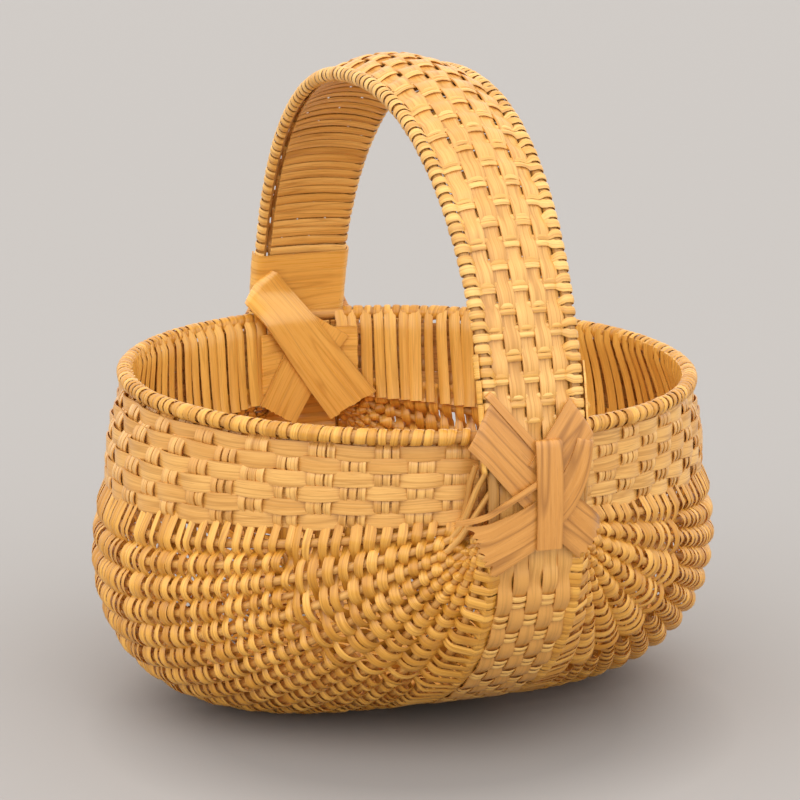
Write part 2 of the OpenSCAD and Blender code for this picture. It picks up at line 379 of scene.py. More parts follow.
    def band_point(self, share: Number, along: Number, out: Number = 0.0) -> Array:
        """Point of the band under the rim.

        Args:
            share: Way from the rim, 0, to the band's foot, 1.
            along: Angle from the front ear.
            out: Distance outside the band's upright splints.

        Returns:
            Rows of X, Y and Z.
        """
        outward = self.rim_out(along)
        head = self.rim_point(along) - (self.rim_wrap_r - self.weave_t / 2) * outward
        foot = self.rib_point(self.top_angle, along) - (self.flat_t + self.seat) * outward
        foot[..., 2] += 2 * self.seat
        swell = 4 * share * (1 - share) * self.band_swell * sind(along)
        lift = np.broadcast_to(swell + out, outward.shape[:-1])
        return lerp(head, foot, np.asarray(share)[..., None]) + lift[..., None] * outward

    def band_drop(self, along: Number) -> Number:
        """Height of the band at an angle along the basket."""
        return self.rim_z - self.band_point(np.ones_like(along), along)[..., 2]

    def hoop_point(self, turn: Number) -> Array:
        """Point of the hoop's centre line in the plane between the lobes.

        Args:
            turn: Angle around the hoop.

        Returns:
            Rows of X, Y and Z.
        """
        handle_power = 2 / self.handle_fullness
        keel_power = 2 / self.keel_fullness
        high = sind(turn) > 0
        y = np.where(high, signed_pow(cosd(turn), handle_power), cosd(turn))
        lift = np.abs(sind(turn))
        rise = self.hoop_up * lift ** handle_power
        fall = self.hoop_down * lift ** keel_power
        return points(0.0, self.hoop_half_length * y, self.ear_z + np.where(high, rise, -fall))

    def hoop_out(self, turn: Number) -> Array:
        """Direction out of the hoop, square to its line.

        Args:
            turn: Angle around the hoop.

        Returns:
            Rows of directions.
        """
        step = self.slope_step
        way = self.hoop_point(turn + step) - self.hoop_point(turn - step)
        return unit(points(0.0, way[..., 2], -way[..., 1]))

    def hoop_half_w(self, turn: Number) -> Number:
        """Distance from the middle to an edge rod."""
        rise = np.maximum(sind(turn), 0.0) ** 2
        return lerp(self.hoop_foot_w, self.handle_top_w, rise) / 2

    def hoop_crown(self, turn: Number, x: Number) -> Number:
        """Lift of the weave between the edge rods, which crowns the handle."""
        rise = self.handle_crown * np.maximum(sind(turn), 0.0) ** 2
        return rise * (1 - np.minimum(np.abs(x) / self.hoop_half_w(turn), 1.0) ** 2)

    def hoop_place(self, turn: Number, x: Number, out: Number) -> Array:
        """Point beside and outside the hoop's centre line.

        Args:
            turn: Angle around the hoop.
            x: Distance from the middle.
            out: Distance outside the centre line.

        Returns:
            Rows of X, Y and Z.
        """
        lift = np.broadcast_to(out, np.broadcast(turn, x, out).shape)
        place = self.hoop_point(turn) + lift[..., None] * self.hoop_out(turn)
        place[..., 0] += x
        return place

    def hoop_reach(self, height: Number) -> Number:
        """Half reach in Y of the hoop's centre line.

        Args:
            height: Height over the ear axis.

        Returns:
            The half reach in millimetres.
        """
        up = np.clip(height / self.hoop_up, 0.0, 1.0) ** self.handle_fullness
        down = np.clip(-height / self.hoop_down, 0.0, 1.0) ** self.keel_fullness
        return self.hoop_half_length * np.where(
            height > 0, (1 - up) ** (1 / self.handle_fullness), np.sqrt(1 - down))


@dataclass(frozen=True)
class Strand:
    """One length of splint or rod along its way, in millimetres.

    Attributes:
        centre: Points along the middle of the strand.
        out: Directions that its face looks in.
        half_width: Half of its width at each point.
        half_thickness: Half of its thickness at each point.
    """

    centre: Array
    out: Array
    half_width: Number
    half_thickness: Number

    def flipped(self, x: float, y: float) -> "Strand":
        """The same strand with its X and Y multiplied."""
        flip = np.array([x, y, 1.0])
        return replace(self, centre=self.centre * flip, out=self.out * flip)

    def mirrored(self, side: Side) -> "Strand":
        """The same strand on the given side, for one described on the right."""
        return self.flipped(side.value, 1.0)

    def turned(self, ear: Ear) -> "Strand":
        """The same strand at the given ear, for one described at the front."""
        return self.flipped(ear.value, ear.value)


class Value:
    """A number in a material's nodes, on which Python's operators add Math nodes."""

    def __init__(self, tree: bpy.types.NodeTree, socket: bpy.types.NodeSocket) -> None:
        """Wraps an output socket of a node tree."""
        self.tree = tree
        self.socket = socket

    def math(self, operation: str, *terms: Union["Value", float]) -> "Value":
        """Adds a Math node.

        Args:
            operation: The node's operation.
            terms: What the node works on, in order.

        Returns:
            The node's result.
        """
        node = self.tree.nodes.new("ShaderNodeMath")
        node.operation = operation
        for entry, term in zip(node.inputs, terms):
            if isinstance(term, Value):
                self.tree.links.new(term.socket, entry)
            else:
                entry.default_value = term
        return Value(self.tree, node.outputs[0])

    def __add__(self, other: Union["Value", float]) -> "Value":
        """Sum."""
        return self.math("ADD", self, other)

    __radd__ = __add__

    def __sub__(self, other: Union["Value", float]) -> "Value":
        """Difference."""
        return self.math("SUBTRACT", self, other)

    def __rsub__(self, other: float) -> "Value":
        """Difference from a number."""
        return self.math("SUBTRACT", other, self)

    def __mul__(self, other: Union["Value", float]) -> "Value":
        """Product."""
        return self.math("MULTIPLY", self, other)

    __rmul__ = __mul__

    def __truediv__(self, other: Union["Value", float]) -> "Value":
        """Quotient."""
        return self.math("DIVIDE", self, other)

    def __rtruediv__(self, other: float) -> "Value":
        """Quotient of a number."""
        return self.math("DIVIDE", other, self)

    def __pow__(self, power: float) -> "Value":
        """Power."""
        return self.math("POWER", self, power)

    def __abs__(self) -> "Value":
        """Size without sign."""
        return self.math("ABSOLUTE", self)

    def held(self) -> "Value":
        """The value held between 0 and 1."""
        return self.math("MINIMUM", self.math("MAXIMUM", self, 0.0), 1.0)

    def over(self, level: float, span: float) -> "Value":
        """Share by which the value passes a level, complete after a span."""
        return ((self - level) / span).held()


@dataclass(frozen=True)
class Streak:
    """One layer of streaks in the wood.

    Attributes:
        run: How often the pattern changes in a millimetre along the strand.
        shift: How far apart the palest and the deepest strand lie in the pattern.
        detail: How many finer layers it holds.
    """

    run: float
    shift: float
    detail: float


GRAIN = Streak(run=0.06, shift=97.0, detail=3.0)
CLOUD = Streak(run=0.05, shift=53.0, detail=2.0)
FIBRE = Streak(run=0.16, shift=71.0, detail=2.0)
SEAM = Streak(run=0.02, shift=41.0, detail=1.0)


class Palette:
    """Node tree of one material, with one method that adds any node."""

    # Sockets of a Mix node that mixes colours, which share their names with those for numbers.
    mix_share: ClassVar[int] = 0
    mix_first: ClassVar[int] = 6
    mix_second: ClassVar[int] = 7
    mix_result: ClassVar[int] = 2

    def __init__(self, name: str) -> None:
        """Starts a material that has only its output.

        Args:
            name: Name of the material.
        """
        self.material = bpy.data.materials.new(name)
        self.material.use_nodes = True
        self.tree = self.material.node_tree
        self.tree.nodes.remove(self.tree.nodes["Principled BSDF"])

    def node(self, kind: str, settings: Dict[str, Any], sockets: Dict[Union[int, str], Any],
             output: Union[int, str] = 0) -> Value:
        """Adds a node.

        Args:
            kind: Type of the node.
            settings: Properties that are set first.
            sockets: Values or links of its sockets.
            output: Output that is used.

        Returns:
            The chosen output.
        """
        node = self.tree.nodes.new(kind)
        for key, setting in settings.items():
            setattr(node, key, setting)
        for key, entry in sockets.items():
            if isinstance(entry, Value):
                self.tree.links.new(entry.socket, node.inputs[key])
            else:
                node.inputs[key].default_value = entry
        return Value(self.tree, node.outputs[output])

    def attribute(self, name: str) -> Value:
        """Number that each point of a piece carries."""
        return self.node("ShaderNodeAttribute", {"attribute_name": name}, {}, "Fac")

    def coordinate(self, axis: str) -> Value:
        """Place along one axis of the part's own frame, in metres."""
        place = self.node("ShaderNodeTexCoord", {}, {}, "Object")
        return self.node("ShaderNodeSeparateXYZ", {}, {"Vector": place}, axis)

    def streaks(self, layer: Streak, along: Value, lane: Value, tone: Value) -> Value:
        """One layer of streaks over a strand, centred on 0.

        Args:
            layer: The layer.
            along: Distance along the strand.
            lane: Place across it, counted in widths of a streak.
            tone: The strand's tone.

        Returns:
            The layer's strength.
        """
        place = self.node("ShaderNodeCombineXYZ", {}, {
            "X": along * layer.run, "Y": lane, "Z": tone * layer.shift})
        noise = self.node("ShaderNodeTexNoise", {}, {
            "Vector": place, "Scale": 1.0, "Detail": layer.detail})
        return noise - 0.5

    def blend(self, share: Value, first: Union[Value, Colour],
              second: Union[Value, Colour]) -> Value:
        """Colour a share of the way from the first colour to the second."""
        sockets = {self.mix_share: share, self.mix_first: first, self.mix_second: second}
        return self.node("ShaderNodeMix", {"data_type": "RGBA"}, sockets, self.mix_result)

    def surface(self, sockets: Dict[Union[int, str], Any]) -> bpy.types.Material:
        """Ends the material in a Principled shader.

        Args:
            sockets: Values or links of the shader's sockets.

        Returns:
            The finished material.
        """
        shader = self.node("ShaderNodeBsdfPrincipled", {}, sockets)
        self.tree.links.new(shader.socket, self.tree.nodes["Material Output"].inputs["Surface"])
        return self.material


@dataclass(frozen=True)
class SplintFinish:
    """Split oak as it shows on one kind of strand.

    Attributes:
        name: Name of the material.
        pale: Colour of the palest wood.
        deep: Colour of the deepest wood.
        edge: Colour along the cut edges, partly grime on them and partly painted shade where
            neighbouring strands meet.
        pore: Colour of the dark pores in the grain.
        tone_spread: How far whole strands differ.
        grain_pitch: Width of a grain line across the strand.
        pore_amount: Share of the wood that shows pores.
        seam_pitch: Distance between the thin dark lines that run along it.
        seam_amount: How dark those lines are.
        roughness: Roughness of the face.
        relief: Depth of the grain.
        foot: How much darker the colour is made near the floor.
        foot_z: Heights in metres over which that fades out.
    """

    name: str
    pale: Colour
    deep: Colour
    edge: Colour
    pore: Colour
    tone_spread: float = 0.75
    grain_pitch: float = 0.45
    pore_amount: float = 0.5
    seam_pitch: float = 1.6
    seam_amount: float = 0.6
    roughness: float = 0.38
    relief: float = 0.00005
    foot: float = 0.0
    foot_z: Tuple[float, float] = (0.04, 0.056)

    # What the wood of every strand shares: places of its streaks, their weights in the colour, in
    # the relief and in the sheen, and the levels over which pores, seams and the darker cut edges
    # set in; those darker edges are partly grime and partly painted shade.
    lane_shift: ClassVar[float] = 311.0
    cloud_lanes: ClassVar[float] = 0.3
    fibre_lanes: ClassVar[float] = 2.3
    seam_lanes: ClassVar[float] = 0.7
    grain_weight: ClassVar[float] = 1.5
    cloud_weight: ClassVar[float] = 0.9
    pore_level: ClassVar[float] = 0.07
    pore_span: ClassVar[float] = 0.1
    seam_span: ClassVar[float] = 0.045
    edge_grime_and_shade_level: ClassVar[float] = 0.76
    edge_grime_and_shade_span: ClassVar[float] = 0.4
    edge_grime_and_shade_amount: ClassVar[float] = 0.5
    grain_height: ClassVar[float] = 0.7
    fibre_height: ClassVar[float] = 0.5
    seam_depth: ClassVar[float] = 0.3
    relief_strength: ClassVar[float] = 0.6
    grain_roughness: ClassVar[float] = 0.3
    tone_gloss: ClassVar[float] = 0.06
    specular: ClassVar[float] = 0.6

    def material(self) -> bpy.types.Material:
        """Builds the material from each strand's own lengthwise and crosswise measures.

        Returns:
            The finished material.
        """
        palette = Palette(self.name)
        along = palette.attribute("along")
        across = palette.attribute("across")
        tone = palette.attribute("tone")
        lane = across / self.grain_pitch + tone * self.lane_shift
        grain = palette.streaks(GRAIN, along, lane, tone)
        cloud = palette.streaks(CLOUD, along, across * self.cloud_lanes, tone)
        fibre = palette.streaks(FIBRE, along, lane * self.fibre_lanes, tone)
        seam = palette.streaks(SEAM, along, across * (self.seam_lanes / self.seam_pitch), tone)
        foot_low, foot_high = self.foot_z
        low = 1.0 - palette.coordinate("Z").over(foot_low, foot_high - foot_low)
        share = 0.5 + (tone - 0.5) * self.tone_spread - low * self.foot
        share = share + grain * self.grain_weight + cloud * self.cloud_weight
        pores = fibre.over(self.pore_level, self.pore_span) * self.pore_amount
        seams = (1.0 - abs(seam).over(0.0, self.seam_span)) * self.seam_amount
        # The edge colour darkens each strand towards its sides: partly grime, partly painted shade
        # where neighbouring strands meet.
        from_middle = abs(across / palette.attribute("half_width"))
        edges = from_middle.over(self.edge_grime_and_shade_level, self.edge_grime_and_shade_span) * self.edge_grime_and_shade_amount
        wood = palette.blend(share.held(), self.deep, self.pale)
        for amount, colour in ((pores, self.pore), (seams, self.pore), (edges, self.edge)):
            wood = palette.blend(amount, wood, colour)
        height = grain * self.grain_height + fibre * self.fibre_height - seams * self.seam_depth
        bump = palette.node("ShaderNodeBump", {}, {
            "Strength": self.relief_strength, "Distance": self.relief, "Height": height})
        roughness = self.roughness + grain * self.grain_roughness - tone * self.tone_gloss
        return palette.surface({
            "Base Color": wood, "Normal": bump, "Roughness": roughness.held(),
            "Specular IOR Level": self.specular})


PALE_OAK = SplintFinish(
    "weaving_splint_oak", (0.90, 0.475, 0.088, 1.0), (0.60, 0.255, 0.020, 1.0),
    (0.38, 0.135, 0.010, 1.0), (0.44, 0.17, 0.014, 1.0), tone_spread=0.85)
# A paler copy of the weaving splint for the handle's cross turns and the keel's pairs: painted
# light for the shaded inside of the handle, and a painted highlight on the keel's pairs.
HANDLE_OAK_WITH_PAINTED_LIGHT = SplintFinish(
    "handle_splint_oak", (0.93, 0.56, 0.165, 1.0), (0.73, 0.365, 0.07, 1.0),
    (0.40, 0.16, 0.025, 1.0), (0.48, 0.21, 0.04, 1.0))
FLAT_OAK = SplintFinish(
    "flat_splint_oak", (0.90, 0.515, 0.15, 1.0), (0.69, 0.33, 0.072, 1.0),
    (0.46, 0.185, 0.03, 1.0), (0.54, 0.25, 0.05, 1.0), grain_pitch=0.35, pore_amount=0.6,
    seam_amount=0.8, relief=0.00007, foot=0.75)
LINING_OAK = SplintFinish(
    "lining_splint_oak", (0.92, 0.515, 0.105, 1.0), (0.70, 0.33, 0.048, 1.0),
    (0.52, 0.22, 0.03, 1.0), (0.62, 0.30, 0.045, 1.0))
ROD_OAK = SplintFinish(
    "rod_oak", (0.79, 0.425, 0.105, 1.0), (0.57, 0.26, 0.05, 1.0),
    (0.50, 0.24, 0.05, 1.0), (0.44, 0.20, 0.04, 1.0), seam_amount=0.3, roughness=0.5)
HOOP_ROD_OAK = SplintFinish(
    "hoop_rod_oak", (0.58, 0.29, 0.065, 1.0), (0.38, 0.17, 0.03, 1.0),
    (0.30, 0.13, 0.02, 1.0), (0.28, 0.12, 0.02, 1.0), seam_amount=0.3, roughness=0.5)
LASHING_OAK = SplintFinish(
    "lashing_splint_oak", (0.73, 0.34, 0.079, 1.0), (0.57, 0.24, 0.047, 1.0),
    (0.31, 0.115, 0.018, 1.0), (0.30, 0.11, 0.017, 1.0), tone_spread=0.15, grain_pitch=0.8,
    pore_amount=0.25, seam_pitch=3.2, seam_amount=0.7, roughness=0.3)
# The lashings inside the ears take a paler copy of the lashing wood: painted light that makes up
# for the shade inside the ear.
INNER_LASHING_OAK_WITH_PAINTED_LIGHT = SplintFinish(
    "inner_lashing_splint_oak", (0.93, 0.53, 0.125, 1.0), (0.82, 0.41, 0.075, 1.0),
    (0.46, 0.19, 0.03, 1.0), (0.60, 0.27, 0.045, 1.0), tone_spread=0.4, grain_pitch=0.5,
    pore_amount=0.35, seam_pitch=2.4, roughness=0.33)


class Bench:
    """Models lengths of splint and rod once, lays copies of them and joins copies into pieces."""

    # Corners of the round cuts, and how far the corners of the flat ones are eased.
    corners: ClassVar[Dict[Cut, int]] = {Cut.WEAVER: 6, Cut.ROD: 8}
    eased: ClassVar[Dict[Cut, float]] = {Cut.FLAT: 0.3, Cut.STRIP: 0.12}
    # Length of wood that strands of different tones are split from, so that their grain differs.
    log_length: ClassVar[float] = 700.0
    # Angle up to which edges are shaded smooth.
    smooth_angle: ClassVar[float] = 50.0
    # Spread of the place in its cycle at which a wave starts, in radians.
    wave_start: ClassVar[float] = 3.0

    def __init__(self, seed: int) -> None:
        """Sets up the chance that makes each strand a little different.

        Args:
            seed: Start of the chance values.
        """
        self.chance = np.random.default_rng(seed)
        self.stocks: Dict[Tuple[Cut, int], bpy.types.Object] = {}
        self.materials: Dict[str, bpy.types.Material] = {}

    def about(self, spread: float, count: Union[int, None] = None) -> Number:
        """Chance values spread evenly about 0."""
        return self.chance.uniform(-spread, spread, count)

    def varied(self, size: Number, spread: float) -> Number:
        """A size that differs from strand to strand by up to a share of it."""
        return size * (1.0 + self.about(spread))

    def wave(self, lengths: Array, rates: Tuple[float, float]) -> Array:
        """Wave along a strand, at a chance rate between two and from a chance start."""
        return np.sin(lengths * self.chance.uniform(*rates) + self.about(self.wave_start))

    def stock(self, cut: Cut, stations: int) -> bpy.types.Object:
        """Straight length of one cut, from 0 to 1 along Z and from -1 to 1 across.

        Args:
            cut: The cross-section.
            stations: Number of rings along the length.

        Returns:
            The object that strands are copied from.
        """
        if (cut, stations) in self.stocks:
            return self.stocks[cut, stations]
        bpy.ops.object.select_all(action="DESELECT")
        if cut in self.eased:
            bpy.ops.mesh.primitive_plane_add(size=2.0)
        else:
            bpy.ops.mesh.primitive_circle_add(
                vertices=self.corners[cut], radius=1.0, fill_type="NGON")
        stock = bpy.context.active_object
        bpy.ops.object.mode_set(mode="EDIT")
        bpy.ops.mesh.select_all(action="SELECT")
        if cut in self.eased:
            bpy.ops.mesh.bevel(offset=self.eased[cut], segments=1, affect="VERTICES")
        bpy.ops.mesh.select_mode(type="FACE")
        bpy.ops.mesh.select_all(action="SELECT")
        step = 1.0 / (stations - 1)
        for _ in range(stations - 1):
            bpy.ops.mesh.extrude_region_move(TRANSFORM_OT_translate={"value": (0.0, 0.0, step)})
        bpy.ops.mesh.select_all(action="SELECT")
        bpy.ops.mesh.normals_make_consistent(inside=False)
        bpy.ops.object.mode_set(mode="OBJECT")
        stock.name = f"stock_{cut.name.lower()}_{stations}"
        stock.select_set(False)
        self.stocks[cut, stations] = stock
        return stock

    def lay(self, cut: Cut, strand: Strand) -> bpy.types.Object:
        """Copies a stock along a strand's way.

        Args:
            cut: The cross-section.
            strand: The way, the facing and the sizes.

        Returns:
            The copy, with its place in its own mesh.
        """
        stations = len(strand.centre)
        stock = self.stock(cut, stations)
        copy = stock.copy()
        copy.data = stock.data.copy()
        bpy.context.collection.objects.link(copy)
        shares = mesh_places(copy)
        station = np.rint(shares[:, 2] * (stations - 1)).astype(int)
        across, through = (shares[:, 1], shares[:, 0]) if cut is Cut.WEAVER else shares[:, :2].T
        way = unit(np.gradient(strand.centre, axis=0))
        side = unit(np.cross(way, strand.out))
        out = np.cross(side, way)
        half_width = np.broadcast_to(strand.half_width, stations)[station]
        half_thickness = np.broadcast_to(strand.half_thickness, stations)[station]
        beside = (half_width * across)[:, None] * side[station]
        above = (half_thickness * through)[:, None] * out[station]
        move_points(copy, strand.centre[station] + beside + above)
        self.measure(copy, run_lengths(strand.centre)[station], half_width * across, half_width)
        return copy

    def measure(self, piece: bpy.types.Object, along: Array, across: Array,
                half_width: Array) -> None:
        """Writes on each point of a splint what its finish reads there.

        Args:
            piece: The splint.
            along: Distances along it.
            across: Distances from its middle.
            half_width: Half of its width.
        """
        tone = np.full(len(along), self.chance.random())
        values = {
            "along": along + self.log_length * tone, "across": across, "tone": tone,
            "half_width": half_width}
        for name, value in values.items():
            if name not in piece.data.attributes:
                piece.data.attributes.new(name, "FLOAT", "POINT")
            piece.data.attributes[name].data.foreach_set("value", value.astype(np.float32))

    def sheet(self, grid: Array, across: Array, half_width: Array,
              thickness: float) -> bpy.types.Object:
        """Broad splint that bends both ways.

        Args:
            grid: Rows along the splint of points across it.
            across: Distance of each point from the splint's middle.
            half_width: Half of the splint's width at each point.
            thickness: Its thickness.

        Returns:
            The splint, with its place in its own mesh.
        """
        rows, columns = across.shape
        bpy.ops.object.select_all(action="DESELECT")
        bpy.ops.mesh.primitive_grid_add(
            x_subdivisions=columns - 1, y_subdivisions=rows - 1, size=1.0)
        piece = bpy.context.active_object
        shares = mesh_places(piece) + 0.5
        column = np.rint(shares[:, 0] * (columns - 1)).astype(int)
        row = np.rint(shares[:, 1] * (rows - 1)).astype(int)
        move_points(piece, grid[row, column])
        lengths = run_lengths(grid[:, columns // 2])
        self.measure(piece, lengths[row], across[row, column], half_width[row, column])
        solid = piece.modifiers.new("thickness", "SOLIDIFY")
        solid.thickness = thickness * MM
        solid.offset = 0.0
        bpy.ops.object.modifier_apply(modifier=solid.name)
        piece.select_set(False)
        return piece

    def join(self, name: str, laid: Sequence[bpy.types.Object], finish: SplintFinish, slot: Slot,
             nodes: Iterable[str]) -> None:
        """Joins laid strands into one piece that stands for solids of the frame.

        Args:
            name: Name of the piece.
            laid: The strands.
            finish: What they are dressed with.
            slot: Material slot of the record; not used.
            nodes: Solids that the piece stands for.
        """
        bpy.ops.object.select_all(action="DESELECT")
        for strand in laid:
            strand.select_set(True)
        piece = laid[0]
        bpy.context.view_layer.objects.active = piece
        if len(laid) > 1:
            bpy.ops.object.join()
        bpy.ops.object.mode_set(mode="EDIT")
        bpy.ops.mesh.select_all(action="SELECT")
        bpy.ops.mesh.normals_make_consistent(inside=False)
        bpy.ops.object.mode_set(mode="OBJECT")
        bpy.ops.object.shade_smooth_by_angle(angle=math.radians(self.smooth_angle))
        piece.name = name
        piece.data.name = name
        if finish.name not in self.materials:
            self.materials[finish.name] = finish.material()
        piece.data.materials.clear()
        piece.data.materials.append(self.materials[finish.name])
        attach(piece, "root")
        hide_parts(*nodes)
        piece.select_set(False)
        sides = np.empty(len(piece.data.polygons), np.int32)
        piece.data.polygons.foreach_get("loop_total", sides)
        log.info("%s: %d strands, %d triangles", name, len(laid), int((sides - 2).sum()))

    def lay_piece(self, kind: str, node: str, cut: Cut, strand: Strand, finish: SplintFinish,
                  slot: Slot) -> None:
        """Lays one strand as a piece of its own, named for its kind and the solid it stands for."""
        self.join(f"{kind}_{node}", [self.lay(cut, strand)], finish, slot, [node])

    def clear(self) -> None:
        """Removes the stocks once every strand is laid."""
        for stock in self.stocks.values():
            mesh = stock.data
            bpy.data.objects.remove(stock)
            bpy.data.meshes.remove(mesh)
        self.stocks.clear()


@dataclass
class Assembly:
    """A sub-assembly of the basket, with its main lines and the bench that it is made at."""

    form: BasketForm
    bench: Bench


@dataclass
class Ribs(Assembly):
    """The round ribs of one lobe: long ones from ear to ear and short ones between them."""

    side: Side
    # Every rib.
    stations: int = 61
    tip_share: float = 0.55
    tip_power: float = 0.5
    wander: float = 0.25
    wander_waves: float = 3.0
    # Bare tips of the long ribs, the first of which fan out from places beside the hoop.
    bare_angle: float = 7.0
    fan_angle: float = 15.0
    fan_tops: Tuple[Tuple[float, float, float], ...] = (
        (14.0, -77.2, 14.5), (12.2, -78.8, 13.0), (8.4, -80.0, 12.4))
    # Tips of the short ribs, which drop behind the weave.
    start_spread: float = 2.5
    sink: float = 1.3
    sink_angle: float = 7.0

    def radius(self, along: Number, first: float) -> Number:
        """Radius of a rib that starts at an angle along the basket."""
        way = np.clip((along - first) / (HALF_TURN - 2 * first), 0.0, 1.0)
        return self.form.rib_r * lerp(self.tip_share, 1.0, np.sin(np.pi * way) ** self.tip_power)

    def rib(self, row: float, first: float, sink: float) -> Strand:
        """One rib.

        Args:
            row: Place of the rib in rib pitches from the band.
            first: Angle along the basket at which it starts.
            sink: Depth to which its tips drop behind the weave.

        Returns:
            The rib's strand.
        """
        along = np.linspace(first, HALF_TURN - first, self.stations)
        wander = self.bench.about(self.wander) * sind(self.wander_waves * along)
        down = np.full_like(along, self.form.down_of(row)) + wander
        radius = self.radius(along, first)
        tip = 1.0 - ease(np.minimum(along - first, HALF_TURN - first - along) / self.sink_angle)
        return Strand(
            self.form.wall_point(down, along, -sink * tip), self.form.rib_normal(down, along),
            radius, radius)

    def fan(self, rib: Strand, number: int) -> Strand:
        """A long rib with its bare tips drawn up beside the hoop, under the lashings.

        Args:
            rib: The rib.
            number: Its count from the band.

        Returns:
            The rib with its tips moved.
        """
        along = np.linspace(self.bare_angle, HALF_TURN - self.bare_angle, self.stations)
        from_ear = np.minimum(along, HALF_TURN - along) - self.bare_angle
        top = np.array(self.fan_tops[number - 1]) + np.array([0.0, 0.0, self.form.ear_z])
        top = np.tile(top, (self.stations, 1))
        in_front = along < QUARTER_TURN
        top[:, 1] *= np.where(in_front, 1.0, -1.0)
        share = np.clip(from_ear / self.fan_angle, 0.0, 1.0)[:, None]
        reach = int(np.argmax(from_ear >= self.fan_angle))
        foot = np.where(in_front[:, None], rib.centre[reach], rib.centre[-1 - reach])
        return replace(rib, centre=lerp(lerp(top, foot, share), rib.centre, ease(share)))

    def build(self) -> None:
        """Lays and dresses the ribs."""
        form = self.form
        for number in range(1, form.long_ribs + 1):
            rib = self.rib(number - 1 + form.rib_lead, self.bare_angle, 0.0)
            if number <= len(self.fan_tops):
                rib = self.fan(rib, number)
            self.bench.lay_piece(
                "round", f"{self.side.word}_rib_{number}", Cut.ROD, rib.mirrored(self.side),
                ROD_OAK, Slot.ROD)
        shorts = []
        for number in range(1, form.long_ribs):
            first = form.short_rib_angle + self.bench.about(self.start_spread)
            rib = self.rib(number - 0.5 + form.rib_lead, first, self.sink)
            shorts.append(self.bench.lay(Cut.ROD, rib.mirrored(self.side)))
        name = f"{self.side.word}_short_ribs"
        self.bench.join(f"round_{name}", shorts, ROD_OAK, Slot.ROD, [name])


